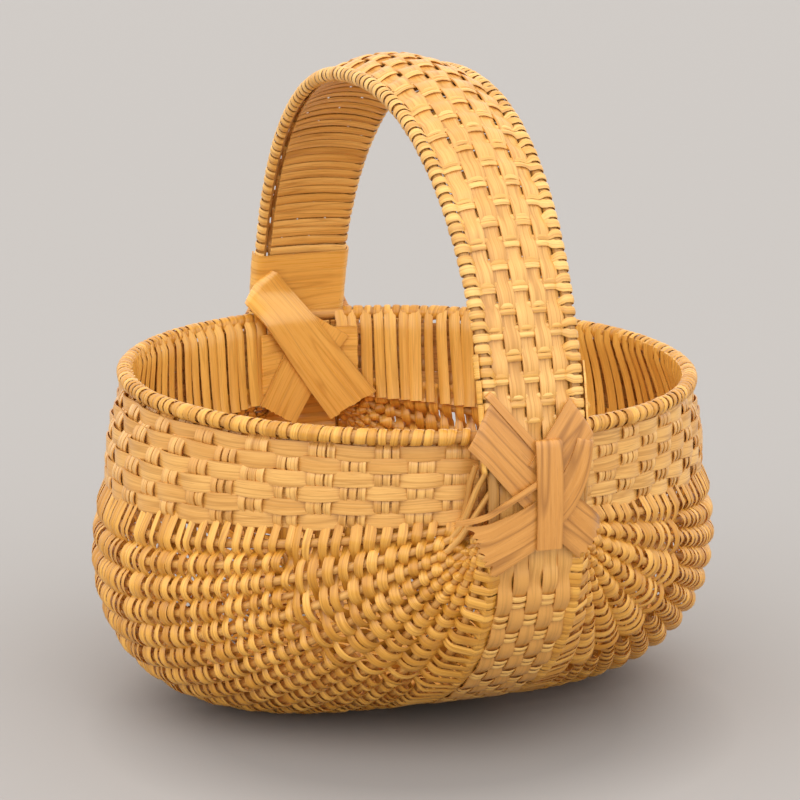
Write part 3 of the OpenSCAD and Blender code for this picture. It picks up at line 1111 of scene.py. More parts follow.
@dataclass
class LobeWeave(Assembly):
    """Narrow splints that pass over and under the ribs of one lobe, from the band to the keel."""

    ribs: Ribs
    side: Side
    # Where the weavers lie along the ribs, and how they sway on their way down.
    weavers: int = 130
    crowding: float = 0.14
    place_spread: float = 0.16
    first_reach: float = 7.5
    bare_reach: float = 17.0
    bare_rows: float = 2.7
    sway: float = 0.3
    sway_rates: Tuple[float, float] = (0.2, 0.5)
    zigzag: float = 0.12
    lean: float = 0.28
    # How they rise over a rib and how wide they are there, as a share of their pitch.
    steps: int = 6
    thickness: float = 0.5
    stand_off: float = 0.32
    lift_power: float = 0.75
    neck: float = 0.86
    cover: float = 1.28
    outside_power: float = 0.7
    cover_inside: float = 1.55
    inside_power: float = 0.5
    width_spread: float = 0.18
    # Their heads, tucked behind the band.
    tuck_row: float = -0.25
    tuck_share: float = 0.9
    tuck_slide: float = 0.06
    tuck_out: float = -0.35
    hidden: float = 0.33
    # Their tails, over the keel's edge rod.
    tail_steps: int = 6
    tail_gap: float = 0.1
    tail_span: float = 0.55
    tail_cover: float = 1.1
    tail_lean: float = 0.25
    tail_places: Tuple[float, ...] = (-3.2, -1.7, 0.0, 1.0)
    tail_lifts: Tuple[float, ...] = (-0.5, 0.1, 0.95, 0.9)
    # Lines from ear to ear, measured to find the weavers' places on them.
    lines_per_rib: int = 4
    share_samples: int = 1001
    shares: Array = field(init=False)
    rows: Array = field(init=False)
    grid: Array = field(init=False)
    rib_length: float = field(init=False)

    def __post_init__(self) -> None:
        """Measures lines from ear to ear, so that weavers cross each at the same share of it."""
        form = self.form
        along = np.linspace(0.0, HALF_TURN, SAMPLES)
        self.rows = np.linspace(
            0.0, float(form.long_ribs), self.lines_per_rib * form.long_ribs + 1)
        self.shares = np.linspace(0.0, 1.0, self.share_samples)
        lines = [run_lengths(form.rib_point(form.down_of(row), along)) for row in self.rows]
        self.grid = np.array([np.interp(self.shares, line / line[-1], along) for line in lines])
        self.rib_length = float(np.mean([line[-1] for line in lines]))

    def along_at(self, share: float, row: Array) -> Array:
        """Angle along the basket of a weaver at places on its way.

        Args:
            share: The weaver's share of every rib's length.
            row: Places in rib pitches from the band.

        Returns:
            One angle for each place.
        """
        column = np.array([np.interp(share, self.shares, line) for line in self.grid])
        return np.interp(row, self.rows, column)

    def places(self) -> Array:
        """Places the weavers, closer together in the lobe's middle.

        Returns:
            The share of the ribs' length at which each weaver crosses them.
        """
        first = self.first_reach / self.rib_length
        even = np.linspace(0.0, 1.0, self.weavers)
        crowded = even + self.crowding * np.sin(2 * np.pi * even) / (2 * np.pi)
        spread = lerp(first, 1.0 - first, crowded)
        near = self.place_spread * (spread[1] - spread[0])
        return spread + self.bench.about(near, self.weavers)

    def pitch(self, share: float) -> float:
        """Distance from a weaver to its neighbours."""
        even = self.rib_length / self.weavers
        return even * (1.0 + self.crowding * math.cos(2 * math.pi * share))

    def start_row(self, share: float) -> float:
        """Row above which a weaver leaves the ribs bare, which it does near the ears.

        Args:
            share: The weaver's share of every rib's length.

        Returns:
            The row in rib pitches from the band.
        """
        reach = min(share, 1.0 - share) * self.rib_length
        way = (reach - self.first_reach) / (self.bare_reach - self.first_reach)
        return float(self.bare_rows * (1.0 - ease(way)))

    def crossings(self, share: float) -> Array:
        """Places where a weaver passes ribs, from its tuck behind the band to the keel's edge.

        Args:
            share: The weaver's share of every rib's length.

        Returns:
            Places in rib pitches from the band.
        """
        form = self.form
        longs = np.arange(form.long_ribs) + form.rib_lead
        shorts = longs[:-1] + 0.5
        away = np.abs(self.along_at(share, shorts) - QUARTER_TURN)
        met = shorts[away < QUARTER_TURN - form.short_rib_angle]
        rows = np.sort(np.concatenate([longs, met]))
        start = self.start_row(share)
        if start <= rows[0]:
            return np.concatenate([[self.tuck_row], rows])
        rows = rows[rows > start]
        return np.concatenate([[rows[0] - 0.5], rows])

    def tail(self, along: float) -> Tuple[Array, Array]:
        """End of a weaver, over the keel's edge rod and in under its first flat.

        Args:
            along: Angle along the basket where the weaver meets the keel.

        Returns:
            Points and outward directions.
        """
        form = self.form
        beside = np.linspace(self.tail_places[-1], self.tail_places[0], self.tail_steps)
        lift = np.interp(beside, self.tail_places, self.tail_lifts)
        turns = np.full_like(beside, HALF_TURN + along)
        centre = form.hoop_place(turns, form.hoop_foot_w / 2 + beside, lift)
        out = form.hoop_out(turns)
        out[:, 0] += self.tail_lean * beside
        return centre, unit(out)

    def strand(self, number: int, share: float) -> Strand:
        """One weaver.

        Args:
            number: Count of the weaver, whose parity says which ribs it passes over.
            share: Its share of every rib's length.

        Returns:
            The weaver's strand.
        """
        form = self.form
        crossings = self.crossings(share)
        spans = len(crossings) - 1
        station = np.linspace(0.0, spans + 0.5, int((spans + 0.5) * self.steps) + 1)
        row = np.interp(station, np.arange(len(crossings)), crossings)
        row = np.minimum(row + np.maximum(station - spans, 0.0), form.long_ribs - self.tail_gap)
        sway = self.sway * self.bench.wave(station, self.sway_rates)
        parity = 1.0 if (number + spans) % 2 == 0 else -1.0
        swing = parity * np.cos(np.pi * station)
        along = self.along_at(share, np.maximum(row, 0.0))
        down = form.down_of(row)
        angle = along + sway + self.zigzag * swing
        out = form.rib_normal(down, angle)
        rib_r = self.ribs.radius(along, form.rib_end_angle)
        top = rib_r + self.thickness / 2 + self.stand_off
        lift = top * signed_pow(swing, self.lift_power)
        centre = form.wall_point(down, angle, 0.0) + lift[:, None] * out
        if crossings[0] == self.tuck_row:
            slide = self.tuck_slide * np.maximum(1.0 - station / self.hidden, 0.0)
            behind = self.tuck_share - slide
            head = form.band_point(behind, np.full_like(row, along[0]), self.tuck_out)
        else:
            head = form.wall_point(down, angle, 0.0) - top[:, None] * out
        centre = lerp(head, centre, ease((station - self.hidden) / (1.0 - self.hidden))[:, None])
        tail, tail_out = self.tail(float(along[-1]))
        centre = lerp(centre, tail[0], ease((station - spans) / self.tail_span)[:, None])
        pitch = self.bench.varied(self.pitch(share), self.width_spread)
        crossing = self.neck * self.cover
        outside = lerp(crossing, self.cover, np.abs(swing) ** self.outside_power)
        inside = lerp(crossing, self.cover_inside, np.abs(swing) ** self.inside_power)
        width = pitch * np.where(swing > 0, outside, inside)
        end_width = np.linspace(width[-1], self.tail_cover * pitch, self.tail_steps)
        centre = np.concatenate([centre, tail])
        centre[:, 2] = np.maximum(centre[:, 2], self.thickness / 2)
        width = np.concatenate([width, end_width])
        facing = np.concatenate([out, tail_out])
        facing[:, 1] += self.bench.about(self.lean)
        return Strand(centre, facing, width / 2, self.thickness / 2)

    def build(self) -> None:
        """Lays and dresses the weave of the lobe."""
        laid = [
            self.bench.lay(Cut.WEAVER, self.strand(number, share).mirrored(self.side))
            for number, share in enumerate(self.places())]
        word = self.side.word
        self.bench.join(
            f"{word}_lobe_weavers", laid, PALE_OAK, Slot.WEAVING,
            [f"{word}_weave_outside", f"{word}_weave_inside"])


@dataclass
class RimBand(Assembly):
    """Band under the rim on one side: flat rows, groups of uprights and the lining inside."""

    side: Side
    # Where flats and uprights cross, outside the lining.
    mean_out: float = 0.62
    swing: float = 0.52
    # Flat rows.
    flat_t: float = 0.45
    flat_swell: float = 0.06
    row_gap: float = 0.1
    row_wander: float = 0.006
    wave: float = 0.2
    wave_rates: Tuple[float, float] = (0.15, 0.3)
    steps: int = 7
    # Uprights, in groups of three narrow ones or two broader ones.
    group_pitch: float = 8.1
    group_spread: float = 0.3
    triple_share: float = 0.75
    pair_grow: float = 1.35
    upright_pitch: float = 2.05
    upright_spread: float = 0.12
    upright_w: float = 1.85
    upright_w_spread: float = 0.14
    upright_t: float = 0.4
    upright_lean: float = 0.7
    upright_steps: int = 5
    head_row: float = 0.15
    head_out: float = -0.1
    head_span: float = 0.6
    foot_start: float = 0.45
    foot_out: float = -0.2
    foot_span: float = 0.5
    # Lining, whose tops ease outward into the rim.
    lining_pitch: float = 3.5
    lining_w: float = 2.85
    lining_w_spread: float = 0.22
    lining_t: float = 1.0
    lining_clear: float = 10.0
    lining_spread: float = 0.45
    lining_lean: float = 0.5
    lining_ends: Tuple[float, float] = (-0.04, 1.06)
    lining_stations: int = 10
    lining_out: float = -0.9
    lining_out_spread: float = 0.18
    lining_bow: float = 0.5
    lining_head_out: float = 0.9
    lining_head: Tuple[float, float] = (-0.02, 0.11)
    # The band's edges, measured to space the uprights.
    angles: Array = field(init=False)
    heads: Array = field(init=False)
    feet: Array = field(init=False)
    groups: int = field(init=False)

    def __post_init__(self) -> None:
        """Measures the band's upper and lower edge, so that uprights are evenly spaced on both."""
        self.angles = np.linspace(0.0, HALF_TURN, SAMPLES)
        self.heads = run_lengths(self.form.rim_point(self.angles))
        self.feet = run_lengths(self.form.band_point(np.ones_like(self.angles), self.angles))
        self.groups = int(round(self.heads[-1] / self.group_pitch))

    def angle_at(self, length: Number, share: Number) -> Number:
        """Angle along the basket of an upright.

        Args:
            length: The upright's distance along the rim.
            share: Way from the rim, 0, to the band's foot, 1.

        Returns:
            The angle at that height.
        """
        head = np.interp(length, self.heads, self.angles)
        foot = np.interp(length * self.feet[-1] / self.heads[-1], self.feet, self.angles)
        return lerp(head, foot, share)

    def row_share(self, row: Number, along: Number) -> Number:
        """Share of the band's height at the middle of a row, or between rows."""
        first = (self.form.rim_wrap_r + self.form.seat) / self.form.band_drop(along)
        return lerp(first, 1.0, (row - 0.5) / self.form.band_rows)

    def flat(self, row: int) -> Strand:
        """One flat row.

        Args:
            row: Number of the row from the rim.

        Returns:
            The row's strand.
        """
        form = self.form
        ends = np.interp([form.ear_angle, HALF_TURN - form.ear_angle], self.angles, self.heads)
        length = np.linspace(ends[0], ends[1], self.groups * self.steps + 1)
        share = self.row_share(row, self.angle_at(length, 0.5)) + self.bench.about(self.row_wander)
        along = self.angle_at(length, share)
        phase = np.cos(np.pi * (length / self.heads[-1] * self.groups + row))
        pitch = form.band_drop(along) / form.band_rows
        width = pitch * (1.0 + self.flat_swell * phase) - self.row_gap
        centre = form.band_point(share, along, self.mean_out + self.swing * swung(phase))
        centre[:, 2] += self.wave * self.bench.wave(length, self.wave_rates)
        return Strand(centre, form.rim_out(along), width / 2, self.flat_t / 2)

    def upright(self, group: int, length: float, width: float) -> Strand:
        """One upright of a group.

        Args:
            group: Count of its group.
            length: Its distance along the rim.
            width: Its width.

        Returns:
            The upright's strand.
        """
        form = self.form
        rows = form.band_rows
        row = np.linspace(self.head_row, rows + 1.0, (rows + 1) * self.upright_steps)
        lean = self.bench.about(self.upright_lean) * (row / rows - 0.5)
        share = self.row_share(row, np.interp(length, self.heads, self.angles))
        along = self.angle_at(length + lean, share)
        out = self.mean_out - self.swing * swung(np.cos(np.pi * (group + row)))
        out = lerp(out, self.foot_out, ease((row - rows - self.foot_start) / self.foot_span))
        out = lerp(self.head_out, out, ease((row - self.head_row) / self.head_span))
        centre = form.band_point(share, along, out)
        return Strand(centre, form.rim_out(along), width / 2, self.upright_t / 2)

    def lining(self, length: float) -> Strand:
        """One upright of the lining inside the band.

        Args:
            length: Its distance along the rim.

        Returns:
            The lining's strand.
        """
        form = self.form
        share = np.linspace(*self.lining_ends, self.lining_stations)
        along = self.angle_at(length + self.bench.about(self.lining_lean) * share, share)
        width = self.bench.varied(self.lining_w, self.lining_w_spread)
        bow = self.lining_bow * np.sin(np.pi * np.clip(share, 0.0, 1.0))
        inward = self.lining_out - bow + self.bench.about(self.lining_out_spread)
        start, end = self.lining_head
        out = lerp(self.lining_head_out, inward, ease((share - start) / (end - start)))
        centre = form.band_point(share, along, out)
        return Strand(centre, -form.rim_out(along), width / 2, self.lining_t / 2)

    def build(self) -> None:
        """Lays and dresses the band."""
        bench, word = self.bench, self.side.word
        for row in range(1, self.form.band_rows + 1):
            bench.lay_piece(
                "woven", f"{word}_band_splint_{row}", Cut.FLAT, self.flat(row).mirrored(self.side),
                FLAT_OAK, Slot.FLAT)
        whole = self.heads[-1]
        uprights = []
        for group in range(1, self.groups):
            count, grow = (
                (3, 1.0) if bench.chance.random() < self.triple_share else (2, self.pair_grow))
            middle = group * whole / self.groups + bench.about(self.group_spread)
            for place in range(count):
                beside = (place - (count - 1) / 2) * grow * self.upright_pitch
                length = middle + beside + bench.about(self.upright_spread)
                width = bench.varied(grow * self.upright_w, self.upright_w_spread)
                strand = self.upright(group, length, width)
                uprights.append(bench.lay(Cut.FLAT, strand.mirrored(self.side)))
        bench.join(
            f"{word}_band_uprights", uprights, FLAT_OAK, Slot.WEAVING, [f"{word}_band_weave"])
        lined = whole - 2 * self.lining_clear
        lengths = self.lining_clear + np.linspace(0.0, lined, int(lined / self.lining_pitch) + 1)
        lining = [
            bench.lay(Cut.WEAVER, self.lining(length).mirrored(self.side))
            for length in lengths + bench.about(self.lining_spread, len(lengths))]
        bench.join(
            f"{word}_band_lining", lining, LINING_OAK, Slot.WEAVING, [f"{word}_band_weave"])


@dataclass
class Rim(Assembly):
    """The rim rod and the splint turns that bind the band to it."""

    turn_pitch: float = 2.6
    turn_w: float = 2.15
    turn_t: float = 0.5
    turn_gap: float = 0.08
    turn_reach: Tuple[float, float] = (-120.0, 245.0)
    turn_stations: int = 13
    slant: float = 0.6
    slant_spread: float = 0.5
    slant_from: float = 60.0
    place_spread: float = 0.4
    radius_spread: float = 0.06
    width_spread: float = 0.25
    rod_grow: float = 0.15
    rod_stations: int = 181
    clear_ear: float = 12.5

    def turn(self, length: float, lengths: Array, angles: Array) -> Strand:
        """One splint turn round the rod.

        Args:
            length: Its distance along the rim.
            lengths: Distances along the rim at sampled angles.
            angles: The sampled angles.

        Returns:
            The turn's strand.
        """
        form = self.form
        round_way = np.linspace(*self.turn_reach, self.turn_stations)
        slant = self.slant + self.bench.about(self.slant_spread)
        drift = slant * (round_way - self.slant_from) / HALF_TURN * self.turn_pitch / 2
        along = np.interp((length + drift) % lengths[-1], lengths, angles)
        radius = form.rim_r + self.rod_grow + self.turn_t / 2 + self.turn_gap
        radius += self.bench.about(self.radius_spread)
        out = cosd(round_way)[:, None] * form.rim_out(along)
        out[:, 2] += sind(round_way)
        width = self.bench.varied(self.turn_w, self.width_spread)
        return Strand(form.rim_point(along) + radius * out, out, width / 2, self.turn_t / 2)

    def build(self) -> None:
        """Lays and dresses the rim."""
        form = self.form
        angles = np.linspace(0.0, FULL_TURN, 2 * SAMPLES - 1)
        lengths = run_lengths(form.rim_point(angles))
        along = np.linspace(0.0, FULL_TURN, self.rod_stations)
        radius = form.rim_r + self.rod_grow
        rod = Strand(form.rim_point(along), form.rim_out(along), radius, radius)
        self.bench.lay_piece("round", "rim_rod", Cut.ROD, rod, ROD_OAK, Slot.ROD)
        turns = []
        for length in np.arange(0.0, lengths[-1], self.turn_pitch):
            place = length + self.bench.about(self.place_spread)
            x = form.rim_point(np.interp(place % lengths[-1], lengths, angles))[0]
            if abs(x) > self.clear_ear:
                turns.append(self.bench.lay(Cut.WEAVER, self.turn(place, lengths, angles)))
        self.bench.join(
            "rim_binding", turns, PALE_OAK, Slot.WEAVING, ["left_band_weave", "right_band_weave"])


@dataclass
class Hoop(Assembly):
    """Upright hoop: edge rods, lengthwise flats, the handle's cross turns and the keel's weave."""

    # Edge rods and lengthwise flats.
    rod_stations: int = 241
    flats: int = 5
    flat_t: float = 0.5
    flat_gap: float = 0.05
    flat_swell: float = 0.05
    flat_spread: float = 0.1
    flat_stations: int = 501
    mean_out: float = -0.2
    swing: float = 0.5
    still_reach: float = 6.0
    still_span: float = 8.0
    # Cross turns of the handle: across its inside, round the right rod, over its face and round
    # the left rod.
    place_spread: float = 0.15
    handle_clear: float = 24.0
    turn_pitch: float = 2.6
    turn_t: float = 0.5
    turn_w: float = 2.5
    coil_w: float = 2.0
    strand_w: float = 1.45
    width_spread: float = 0.1
    pair_share: float = 0.55
    turn_slant: float = 0.5
    wrap_gap: float = 0.12
    wrap_spread: float = 0.06
    wrap_stations: int = 10
    right_wrap: Tuple[float, float] = (-90.0, 142.0)
    left_wrap: Tuple[float, float] = (38.0, 270.0)
    inside_stations: int = 13
    face_inset: float = 2.1
    face_steps: int = 4
    # Keel: thinner edge rods, pairs of narrow splints outside and a lining inside.
    keel_onset: float = 4.0
    keel_lift: float = 0.95
    keel_rod_share: float = 0.72
    keel_rod_drop: float = 0.45
    keel_clear: float = 9.0
    keel_pitch: float = 5.2
    keel_pair_half: float = 0.8
    keel_strand_w: float = 1.4
    keel_strand_spread: float = 0.12
    keel_strand_inset: float = 0.6
    keel_strand_steps: int = 6
    keel_tuck: float = 1.6
    keel_skew: float = 0.3
    liner_stations: int = 9
    liner_gap: float = 0.1
    liner_clear: float = 4.0
    # The hoop's line, measured to space what crosses it.
    turns: Array = field(init=False)
    lengths: Array = field(init=False)

    def __post_init__(self) -> None:
        """Measures the hoop from the front ear over the handle and back under the keel."""
        self.turns = np.linspace(HALF_TURN, -HALF_TURN, 2 * SAMPLES - 1)
        self.lengths = run_lengths(self.form.hoop_point(self.turns))

    def turn_at(self, length: Number) -> Number:
        """Angle around the hoop at a distance from the front ear over the handle."""
        return np.interp(length, self.lengths, self.turns)

    @property
    def handle_length(self) -> float:
        """Length of the handle from ear to ear."""
        return float(np.interp(0.0, -self.turns, self.lengths))

    def pair_at(self, length: Number) -> Number:
        """Count of cross pairs passed along the handle, or along the keel after it."""
        handle = self.handle_length
        return np.where(
            length < handle, length / (2 * self.turn_pitch), (length - handle) / self.keel_pitch)

    def keel_share(self, turn: Number) -> Number:
        """Share of the keel's own levels, from 0 on the handle to 1 under the ears."""
        return ease(-self.keel_onset * sind(turn))

    def level(self, turn: Number, x: Number) -> Number:
        """Mean height of the weave outside the hoop's centre line."""
        lift = self.mean_out + self.keel_lift * self.keel_share(turn)
        return lift + self.form.hoop_crown(turn, x)

    def flat_pitch(self, turn: Number) -> Number:
        """Distance between neighbouring flats."""
        form = self.form
        return 2 * (form.hoop_half_w(turn) - form.hoop_r - form.seat / 2) / self.flats

    def ear_share(self, length: Number) -> Number:
        """Share of the weave's swing, which fades out under the lashings.

        Args:
            length: Distance from the front ear over the handle.

        Returns:
            The share, from 0 at the ears to 1 away from them.
        """
        handle, whole = self.handle_length, self.lengths[-1]
        gap = np.minimum(np.abs(length - handle), np.minimum(length, whole - length))
        return ease((gap - self.still_reach) / self.still_span)

    def crossing(self, turn: float, x: Array, pair: float) -> Array:
        """Height of a cross splint that passes over and under the flats.

        Args:
            turn: Angle around the hoop.
            x: Distances from the middle.
            pair: Count of its pair.

        Returns:
            Heights outside the hoop's centre line.
        """
        column = x / float(self.flat_pitch(turn)) + (self.flats + 1) / 2
        return self.level(turn, x) - self.swing * swung(np.cos(np.pi * (column + pair)))

    def rod(self, side: Side) -> Strand:
        """One edge rod, thinner and deeper along the keel, where the lobes' weave crosses it.

        Args:
            side: The rod's side.

        Returns:
            The rod's strand.
        """
        form = self.form
        turn = np.linspace(HALF_TURN, -HALF_TURN, self.rod_stations)
        keel = self.keel_share(turn)
        radius = form.hoop_r * lerp(1.0, self.keel_rod_share, keel)
        centre = form.hoop_place(
            turn, side.value * form.hoop_half_w(turn), -self.keel_rod_drop * keel)
        return Strand(centre, form.hoop_out(turn), radius, radius)

    def flat(self, number: int) -> Strand:
        """One lengthwise flat right round the hoop, with its ends under the front lashing.

        Args:
            number: Count of the flat from the left.

        Returns:
            The flat's strand.
        """
        form = self.form
        length = np.linspace(0.0, self.lengths[-1], self.flat_stations)
        turn = self.turn_at(length)
        pitch = self.flat_pitch(turn)
        x = (number - (self.flats + 1) / 2) * pitch
        near_ear = self.ear_share(length)
        phase = np.cos(np.pi * (self.pair_at(length) + number)) * near_ear
        out = self.level(turn, x) + self.swing * swung(phase)
        width = pitch * (1.0 + self.flat_swell * phase) - self.flat_gap * near_ear
        centre = form.hoop_place(turn, x + self.bench.about(self.flat_spread), out)
        facing = form.hoop_out(turn)
        facing[:, 0] += x * form.hoop_crown(turn, 0.0) * 2 / form.hoop_half_w(turn) ** 2
        return Strand(centre, unit(facing), width / 2, self.flat_t / 2)

    def cross_turn(self, number: int) -> Strand:
        """One splint turn across the handle's inside, round both rods and through the flats.

        Args:
            number: Count of the turn along the handle.

        Returns:
            The turn's strand.
        """
        form = self.form
        pair = (number + 0.5) // 2
        length = (number + 0.5) * self.turn_pitch
        pair_length = (pair * 2 + 1.0) * self.turn_pitch
        middle = float(self.turn_at(length))
        half_w = float(form.hoop_half_w(middle))
        wrap_r = form.hoop_r + self.turn_t / 2 + self.wrap_gap + self.bench.about(self.wrap_spread)
        inside = np.linspace(-half_w, half_w, self.inside_stations)[1:-1]
        right = np.linspace(*self.right_wrap, self.wrap_stations)
        face_half = half_w - self.face_inset
        face = np.linspace(face_half, -face_half, self.face_steps * self.flats + 1)
        left = np.linspace(*self.left_wrap, self.wrap_stations)
        counts = [len(inside), len(right), len(face), len(left)]
        x = np.concatenate([
            inside, half_w + wrap_r * cosd(right), face, -half_w + wrap_r * cosd(left)])
        out = np.concatenate([
            form.hoop_crown(middle, inside) - wrap_r, wrap_r * sind(right),
            self.crossing(middle, face, pair), wrap_r * sind(left)])
        faced = np.concatenate([
            np.full_like(inside, -QUARTER_TURN), right, np.full_like(face, QUARTER_TURN), left])
        width = np.repeat((self.turn_w, self.coil_w, self.strand_w, self.coil_w), counts)
        on_face = np.repeat((0.0, 0.0, 1.0, 0.0), counts)
        on_face[[sum(counts[:2]) - 1, sum(counts[:3])]] = 0.5
        gather = lerp(length, pair_length + self.pair_share * (length - pair_length), on_face)
        slant = np.linspace(-0.5, 0.5, len(x)) * self.turn_slant * self.turn_pitch * (1 - on_face)
        turn = self.turn_at(gather + slant + self.bench.about(self.place_spread))
        width = self.bench.varied(width, self.width_spread)
        directions = sind(faced)[:, None] * form.hoop_out(turn)
        directions[:, 0] += cosd(faced)
        return Strand(form.hoop_place(turn, x, out), unit(directions), width / 2, self.turn_t / 2)

    def keel_strand(self, pair: int, place: float) -> Strand:
        """One narrow splint across the keel, over and under the flats.

        Args:
            pair: Count of its pair along the keel.
            place: Its distance from the pair's middle.

        Returns:
            The splint's strand.
        """
        form = self.form
        length = self.handle_length + pair * self.keel_pitch + place
        turn = float(self.turn_at(length + self.bench.about(self.place_spread)))
        reach = form.hoop_foot_w / 2 - self.keel_strand_inset
        x = np.linspace(-reach, reach, self.keel_strand_steps * self.flats + 1)
        tucked = ease((np.abs(x) - reach + self.keel_tuck) / self.keel_tuck)
        lift = lerp(self.crossing(turn, x, pair), -form.hoop_r, tucked)
        width = self.bench.varied(self.keel_strand_w, self.keel_strand_spread)
        spread = np.full_like(x, turn) + self.bench.about(self.keel_skew) * x / reach
        return Strand(
            form.hoop_place(spread, x, lift), form.hoop_out(spread), width / 2, self.turn_t / 2)

    def keel_liner(self, length: float) -> Strand:
        """One broad splint across the keel's inside.

        Args:
            length: Its distance from the front ear over the handle.

        Returns:
            The splint's strand.
        """
        form = self.form
        x = np.linspace(-form.hoop_foot_w / 2, form.hoop_foot_w / 2, self.liner_stations)
        turn = np.full_like(x, self.turn_at(length + self.bench.about(self.place_spread)))
        centre = form.hoop_place(turn, x, -form.hoop_r - self.turn_t / 2 - self.liner_gap)
        return Strand(centre, -form.hoop_out(turn), self.turn_w / 2, self.turn_t / 2)

    def build(self) -> None:
        """Lays and dresses the hoop."""
        bench = self.bench
        for side in Side:
            bench.lay_piece(
                "round", f"{side.word}_hoop_rod", Cut.ROD, self.rod(side), HOOP_ROD_OAK, Slot.ROD)
        for number in range(1, self.flats + 1):
            bench.lay_piece(
                "woven", f"hoop_splint_{number}", Cut.FLAT, self.flat(number), FLAT_OAK, Slot.FLAT)
        handle, whole = self.handle_length, self.lengths[-1]
        first = int(self.handle_clear / self.turn_pitch)
        last = int(handle / self.turn_pitch) - first
        turns = [bench.lay(Cut.WEAVER, self.cross_turn(number)) for number in range(first, last)]
        bench.join("handle_cross_turns", turns, HANDLE_OAK_WITH_PAINTED_LIGHT, Slot.WEAVING, ["handle_weave"])
        first = int(self.keel_clear / self.keel_pitch) + 1
        last = int((whole - handle - self.keel_clear) / self.keel_pitch)
        pairs = [
            bench.lay(Cut.WEAVER, self.keel_strand(pair, place))
            for pair in range(first, last)
            for place in (-self.keel_pair_half, self.keel_pair_half)]
        bench.join("keel_cross_pairs", pairs, HANDLE_OAK_WITH_PAINTED_LIGHT, Slot.WEAVING, ["keel_weave"])
        lined = np.arange(handle + self.liner_clear, whole - self.liner_clear, self.turn_pitch)
        liners = [bench.lay(Cut.WEAVER, self.keel_liner(length)) for length in lined]
        bench.join("keel_lining", liners, LINING_OAK, Slot.WEAVING, ["keel_weave"])


@dataclass(frozen=True)
class LashStrip:
    """One broad splint of a lashing, on its way across an ear.

    Attributes:
        way: Places across and above the ear axis that its middle passes.
        widths: Its width at the start and at the end.
        lift: Its height over what lies under it.
        skew_start: How much sooner its left edge starts than its right edge.
        skew_end: How much later its left edge ends than its right edge.
        fold_start: Radius with which its start folds away behind it, or 0.
        fold_end: Radius with which its end folds away behind it, or 0.
        torn_start: How deep a torn start is ragged, or 0.
        torn_end: How deep a torn end is ragged, or 0.
    """

    way: Tuple[Tuple[float, float], ...]
    widths: Tuple[float, float]
    lift: float
    skew_start: float = 0.0
    skew_end: float = 0.0
    fold_start: float = 0.0
    fold_end: float = 0.0
    torn_start: float = 0.0
    torn_end: float = 0.0


FALLING = (
    LashStrip(((-14.75, 25.1), (-2.25, 10.0), (4.5, 3.4), (14.2, -5.2)), (10.2, 10.6), 0.25,
              skew_start=4.7, fold_start=0.6, torn_end=1.6),
    LashStrip(((-11.2, 30.4), (-0.7, 18.0), (4.0, 12.0)), (1.9, 1.9), 0.62, fold_start=0.6),
)
RISING = (
    LashStrip(((0.8, 11.6), (6.0, 18.3), (11.5, 25.4)), (9.0, 9.6), 0.8, skew_end=3.2,
              fold_end=0.6),
    LashStrip(((-14.6, -5.4), (-7.0, -2.2), (-0.75, 0.2), (4.6, 4.4), (8.6, 9.0), (10.5, 13.8),
               (11.2, 18.6)), (13.0, 4.2), 1.05, fold_end=0.6, torn_start=1.6),
    LashStrip(((-18.8, 0.8), (-9.0, 5.9), (-1.4, 9.9), (4.0, 12.6)), (1.3, 1.5), 1.5,
              torn_start=1.0),
)
TUCK = (LashStrip(((1.9, 18.8), (1.9, 8.0), (1.7, -5.2)), (6.5, 6.2), 2.0, fold_start=1.1),)
INSIDE = tuple(
    LashStrip(((-13.4, height + 0.4), (0.0, height), (13.4, height - 0.3)), (5.4, 5.4), 0.1)
    for height in (14.2, 9.0, 3.8)
) + (
    LashStrip(((-6.0, 18.0), (2.0, 6.0), (9.0, -5.5)), (12.0, 12.6), 0.75, torn_end=0.5),
    LashStrip(((11.7, 28.0), (4.8, 19.5), (-1.7, 10.0), (-11.9, -4.1)), (12.0, 13.4), 1.5,
              fold_start=1.5, torn_end=0.5),
)


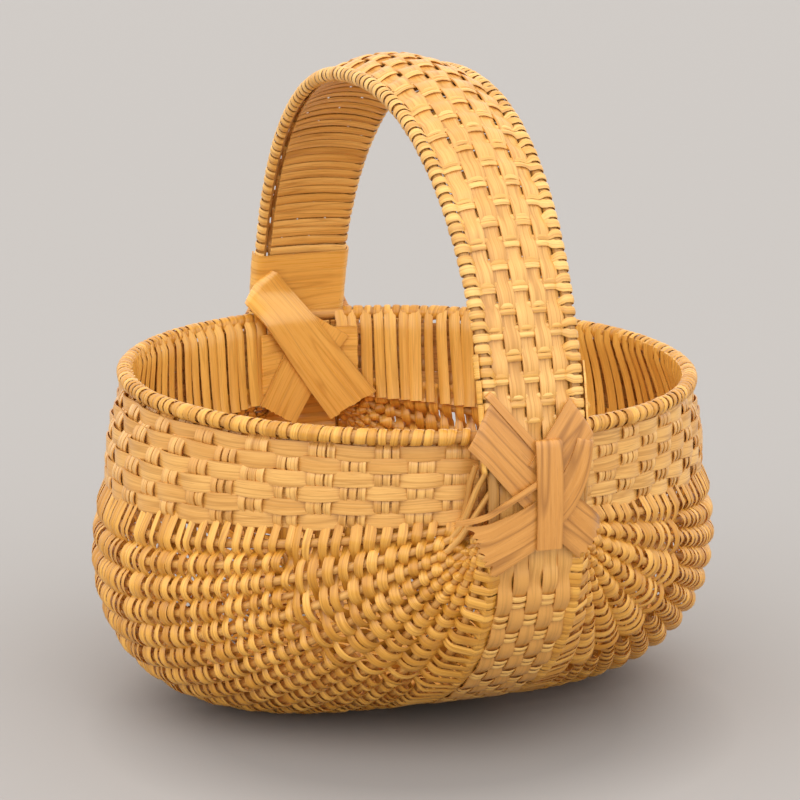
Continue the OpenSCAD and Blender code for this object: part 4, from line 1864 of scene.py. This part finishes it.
@dataclass
class EarLashing(Assembly):
    """Crossed splints that tie the rim, the hoop and the ribs together at one ear."""

    ear: Ear
    # Strips and the folds at their ends.
    thickness: float = 0.45
    column_w: float = 0.5
    least_columns: int = 5
    stations: int = 31
    smoothings: int = 40
    fold_stations: int = 6
    fold_angle: float = 150.0
    fold_tail: float = 2.5
    fold_tail_shares: Tuple[float, float] = (0.33, 1.0)
    fold_tail_rows: int = 3
    fold_narrow: float = 0.7
    # What the strips lie on: the hoop's outside, which they fall back beside, and its inside.
    beside: float = 11.7
    fall_reach: float = 3.0
    fall_slope: float = 0.8
    inside_gap: float = 0.5
    inside_ease: Tuple[float, float] = (-1.0, 8.0)
    # Broad turns across the inside of the handle's foot.
    wrap_heights: Tuple[float, ...] = (35.0, 30.0, 25.0, 20.0, 15.2)
    wrap_w: float = 5.4
    wrap_w_spread: float = 0.05
    wrap_gap: float = 0.2
    wrap_lean: float = 0.5
    wrap_round: Tuple[float, float] = (30.0, -90.0)
    wrap_stations: int = 7
    wrap_turns: Tuple[float, float] = (HALF_TURN, 100.0)
    wrap_samples: int = 161

    def outside_place(self, x: Array, height: Array, lift: Number) -> Array:
        """Place over the hoop's outside that falls back beside it.

        Args:
            x: Distance from the middle.
            height: Height over the ear axis.
            lift: Height over the hoop's wrapped rods.

        Returns:
            Rows of X, Y and Z at the front ear.
        """
        form = self.form
        beside = np.maximum(0.0, np.abs(x) - self.beside)
        bent = beside ** 2 / (2 * form.lash_fall_r)
        back = np.minimum(bent, self.fall_reach + self.fall_slope * beside)
        y = -form.hoop_reach(height) - form.hoop_r - form.seat - lift + back
        return points(x, y, form.ear_z + height)

    def inside_place(self, x: Array, height: Array, lift: Number) -> Array:
        """Place inside the ear, on the hoop's inner face above the rim and off the rim below it.

        Args:
            x: Distance from the middle.
            height: Height over the ear axis.
            lift: Height over the lining.

        Returns:
            Rows of X, Y and Z at the front ear.
        """
        form = self.form
        low = -form.rim_half_length + form.rim_wrap_r + x * x / (2 * form.lash_curl_r)
        high = -form.hoop_reach(height) + form.hoop_wrap_r + self.inside_gap
        start, end = self.inside_ease
        y = lerp(low, high, ease((height - form.ear_drop - start) / (end - start))) + lift
        return points(x, y, form.ear_z + height)

    def line(self, strip: LashStrip) -> Array:
        """Smooth line through a strip's places.

        Args:
            strip: The strip.

        Returns:
            Rows of distance across and height.
        """
        way = np.array(strip.way)
        reach = run_lengths(way)
        share = np.linspace(0.0, reach[-1], self.stations)
        line = np.column_stack([np.interp(share, reach, column) for column in way.T])
        for _ in range(self.smoothings):
            line[1:-1] = (line[:-2] + 2 * line[1:-1] + line[2:]) / 4
        return line

    def sheet(self, strip: LashStrip, inside: bool) -> bpy.types.Object:
        """Lays one strip.

        Args:
            strip: The strip's places and sizes.
            inside: Whether it lies inside the ear.

        Returns:
            The strip's splint.
        """
        columns = max(self.least_columns, int(max(strip.widths) / self.column_w) + 1)
        beside = np.linspace(-0.5, 0.5, columns)
        line = self.line(strip)
        reach = run_lengths(line)[-1]
        ragged = self.bench.chance.random((2, columns))
        first = (strip.skew_start * (0.5 - beside) + strip.torn_start * ragged[0]) / reach
        last = 1.0 - (strip.skew_end * (0.5 - beside) + strip.torn_end * ragged[1]) / reach
        share = np.linspace(0.0, 1.0, self.stations)
        picked = lerp(first, last, share[:, None])
        way = unit(np.gradient(line, axis=0))
        x, height, way_x, way_h = (
            np.interp(picked, share, column) for column in (*line.T, *way.T))
        whole = lerp(strip.widths[0], strip.widths[1], picked)
        placed = self.inside_place if inside else self.outside_place
        grid = placed(x - beside * whole * way_h, height + beside * whole * way_x, strip.lift)
        if strip.fold_start:
            fold = self.fold(grid[0], grid[1], strip.fold_start, inside)[::-1]
            grid = np.concatenate([fold, grid])
            whole = np.concatenate([np.tile(whole[0], (len(fold), 1)), whole])
        if strip.fold_end:
            fold = self.fold(grid[-1], grid[-2], strip.fold_end, inside)
            grid = np.concatenate([grid, fold])
            whole = np.concatenate([whole, np.tile(whole[-1], (len(fold), 1))])
        turned = grid * np.array([self.ear.value, self.ear.value, 1.0])
        return self.bench.sheet(turned, beside * whole, whole / 2, self.thickness)

    def fold(self, edge: Array, before: Array, radius: float, inside: bool) -> Array:
        """Round fold along a strip's end that carries it away behind itself.

        Args:
            edge: Points across the strip where the fold starts.
            before: Points across the strip just before them.
            radius: Radius of the fold.
            inside: Whether the strip lies inside the ear.

        Returns:
            Rows of points, in the order in which the strip runs on.
        """
        crease = unit(edge[-1] - edge[0])
        out = unit(np.cross(crease, edge - before))
        out = out * np.sign(out[:, 1:2]) * (1.0 if inside else -1.0)
        onward = np.cross(out, crease)
        onward = onward * np.sign(np.sum(onward * (edge - before), axis=1, keepdims=True))
        turn = np.linspace(0.0, self.fold_angle, self.fold_stations + 1)[1:, None, None]
        rows = edge + radius * (sind(turn) * onward - (1.0 - cosd(turn)) * out)
        back = cosd(self.fold_angle) * onward - sind(self.fold_angle) * out
        shares = np.linspace(*self.fold_tail_shares, self.fold_tail_rows)[:, None, None]
        rows = np.concatenate([rows, rows[-1] + shares * self.fold_tail * back])
        middle = rows.mean(axis=1, keepdims=True)
        narrowing = np.linspace(1.0, self.fold_narrow, len(rows))[:, None, None]
        return middle + (rows - middle) * narrowing

    def wrap(self, height: float) -> Strand:
        """One broad turn across the inside of the handle's foot, with its ends round the rods.

        Args:
            height: Its height over the ear axis.

        Returns:
            The turn's strand.
        """
        form = self.form
        turns = np.linspace(*self.wrap_turns, self.wrap_samples)
        turn = float(np.interp(height, form.hoop_point(turns)[:, 2] - form.ear_z, turns))
        half_w = float(form.hoop_half_w(turn))
        radius = form.hoop_wrap_r + self.wrap_gap
        right = np.linspace(*self.wrap_round, self.wrap_stations)
        left = HALF_TURN - right[::-1]
        inside = np.linspace(half_w, -half_w, self.wrap_stations + 2)[1:-1]
        faced = np.concatenate([right, np.full_like(inside, -QUARTER_TURN), left])
        x = np.concatenate([
            half_w + radius * cosd(right), inside, -half_w + radius * cosd(left)])
        lean = self.wrap_lean + self.bench.about(self.wrap_lean)
        leaned = np.full_like(x, turn) + lean * x / half_w
        out = sind(faced)[:, None] * form.hoop_out(leaned)
        out[:, 0] += cosd(faced)
        half = self.bench.varied(self.wrap_w / 2, self.wrap_w_spread)
        centre = form.hoop_place(leaned, x, radius * sind(faced))
        return Strand(centre, unit(out), half, self.thickness / 2).turned(self.ear)

    def build(self) -> None:
        """Lays and dresses the lashings."""
        bench = self.bench
        lashings = {"rising": RISING, "falling": FALLING, "tuck": TUCK, "inside": INSIDE}
        for word, strips in lashings.items():
            inside = strips is INSIDE
            laid = [self.sheet(strip, inside) for strip in strips]
            if inside:
                laid += [bench.lay(Cut.STRIP, self.wrap(height)) for height in self.wrap_heights]
            node = f"{self.ear.word}_lashing_{word}"
            # Strips inside the ear get the paler copy of the lashing wood, which is painted light.
            finish = INNER_LASHING_OAK_WITH_PAINTED_LIGHT if inside else LASHING_OAK
            bench.join(f"tied_{node}", laid, finish, Slot.LASHING, [node])


@dataclass(frozen=True)
class SoftLamp:
    """One soft distant lamp of the studio.

    Attributes:
        name: Name of the lamp.
        direction: Where it stands, seen from the basket.
        strength: Its strength.
        softness: Angle that it fills, in degrees.
    """

    name: str
    direction: Tuple[float, float, float]
    strength: float
    softness: float

    def build(self) -> None:
        """Adds the lamp."""
        bpy.ops.object.light_add(type="SUN")
        lamp = bpy.context.active_object
        lamp.name = self.name
        lamp.rotation_euler = Vector(self.direction).to_track_quat("Z", "Y").to_euler()
        lamp.data.energy = self.strength
        lamp.data.angle = math.radians(self.softness)


LAMPS = (
    SoftLamp("front_softbox", (-0.55, -0.9, 0.95), strength=0.9, softness=80.0),
    SoftLamp("left_softbox", (-1.0, -0.2, 0.8), strength=0.3, softness=60.0),
    SoftLamp("right_fill", (0.7, -0.7, 0.9), strength=0.35, softness=80.0),
)


@dataclass
class Studio:
    """Camera, soft light and pale floor with a painted shadow under the basket. The floor's sizes
    are in metres.
    """

    form: BasketForm
    azimuth: float = 21.9
    elevation: float = 12.18
    distance: float = 876.9
    focal_px: float = 3565.6
    image_px: float = 800.0
    centre_px: Tuple[float, float] = (405.8, 369.7)
    sensor: float = 36.0
    nearest: float = 0.01
    sky_colour: Colour = (1.0, 0.985, 0.965, 1.0)
    sky_strength: float = 1.2
    floor_half: float = 6.0
    floor_colour: Colour = (0.405, 0.385, 0.37, 1.0)
    floor_roughness: float = 0.85
    floor_specular: float = 0.1
    painted_shadow_colour: Colour = (0.29, 0.276, 0.265, 1.0)
    painted_shadow_place: Tuple[float, float] = (-0.01, -0.03)
    painted_shadow_reach: Tuple[float, float] = (0.05, 0.08)

    def camera(self) -> None:
        """Sets the camera at the photograph's place and framing."""
        back = np.array([
            -sind(self.azimuth) * cosd(self.elevation),
            -cosd(self.azimuth) * cosd(self.elevation),
            sind(self.elevation)])
        right = np.array([cosd(self.azimuth), -sind(self.azimuth), 0.0])
        up = np.cross(back, right)
        place = (np.array([0.0, 0.0, self.form.rim_z]) + back * self.distance) * MM
        bpy.ops.object.camera_add()
        camera = bpy.context.active_object
        camera.matrix_world = Matrix(np.column_stack([
            np.vstack([np.column_stack([right, up, back]), np.zeros(3)]),
            np.append(place, 1.0)]).tolist())
        camera.data.sensor_width = self.sensor
        camera.data.lens = self.focal_px * self.sensor / self.image_px
        camera.data.shift_x = (self.image_px / 2 - self.centre_px[0]) / self.image_px
        camera.data.shift_y = (self.centre_px[1] - self.image_px / 2) / self.image_px
        camera.data.clip_start = self.nearest
        bpy.context.scene.camera = camera

    def light(self) -> None:
        """Lights the basket from the front and left, with a fill from the right and a pale sky."""
        for lamp in LAMPS:
            lamp.build()
        world = bpy.data.worlds.new("pale_room")
        world.use_nodes = True
        sky = world.node_tree.nodes["Background"]
        sky.inputs["Color"].default_value = self.sky_colour
        sky.inputs["Strength"].default_value = self.sky_strength
        bpy.context.scene.world = world

    def floor(self) -> None:
        """Lays the pale floor, with a painted shadow that darkens it where the basket bulges out
        over it.
        """
        bpy.ops.mesh.primitive_plane_add(size=2 * self.floor_half)
        floor = bpy.context.active_object
        floor.name = "floor"
        palette = Palette("floor_paper")
        # Painted shadow: the floor's colour turns darker within a round patch under the basket.
        x, y = (
            palette.coordinate(axis) - middle for axis, middle in zip("XY", self.painted_shadow_place))
        near, far = self.painted_shadow_reach
        clear = ((x * x + y * y) ** 0.5).over(near, far - near)
        floor.data.materials.append(palette.surface({
            "Base Color": palette.blend(clear, self.painted_shadow_colour, self.floor_colour),
            "Roughness": self.floor_roughness, "Specular IOR Level": self.floor_specular}))

    def build(self) -> None:
        """Sets up the whole studio."""
        self.camera()
        self.light()
        self.floor()
        bpy.context.scene.view_settings.view_transform = "Standard"


def main() -> None:
    """Builds the basket from the studio to the lashings."""
    logging.basicConfig(level=logging.INFO, format="%(name)s: %(message)s")
    form = BasketForm.from_frame()
    bench = Bench(seed=11)
    Studio(form).build()
    Rim(form, bench).build()
    for side in Side:
        ribs = Ribs(form, bench, side)
        ribs.build()
        LobeWeave(form, bench, ribs, side).build()
        RimBand(form, bench, side).build()
    Hoop(form, bench).build()
    for ear in Ear:
        EarLashing(form, bench, ear).build()
    bench.clear()


if __name__ == "__main__":
    main()
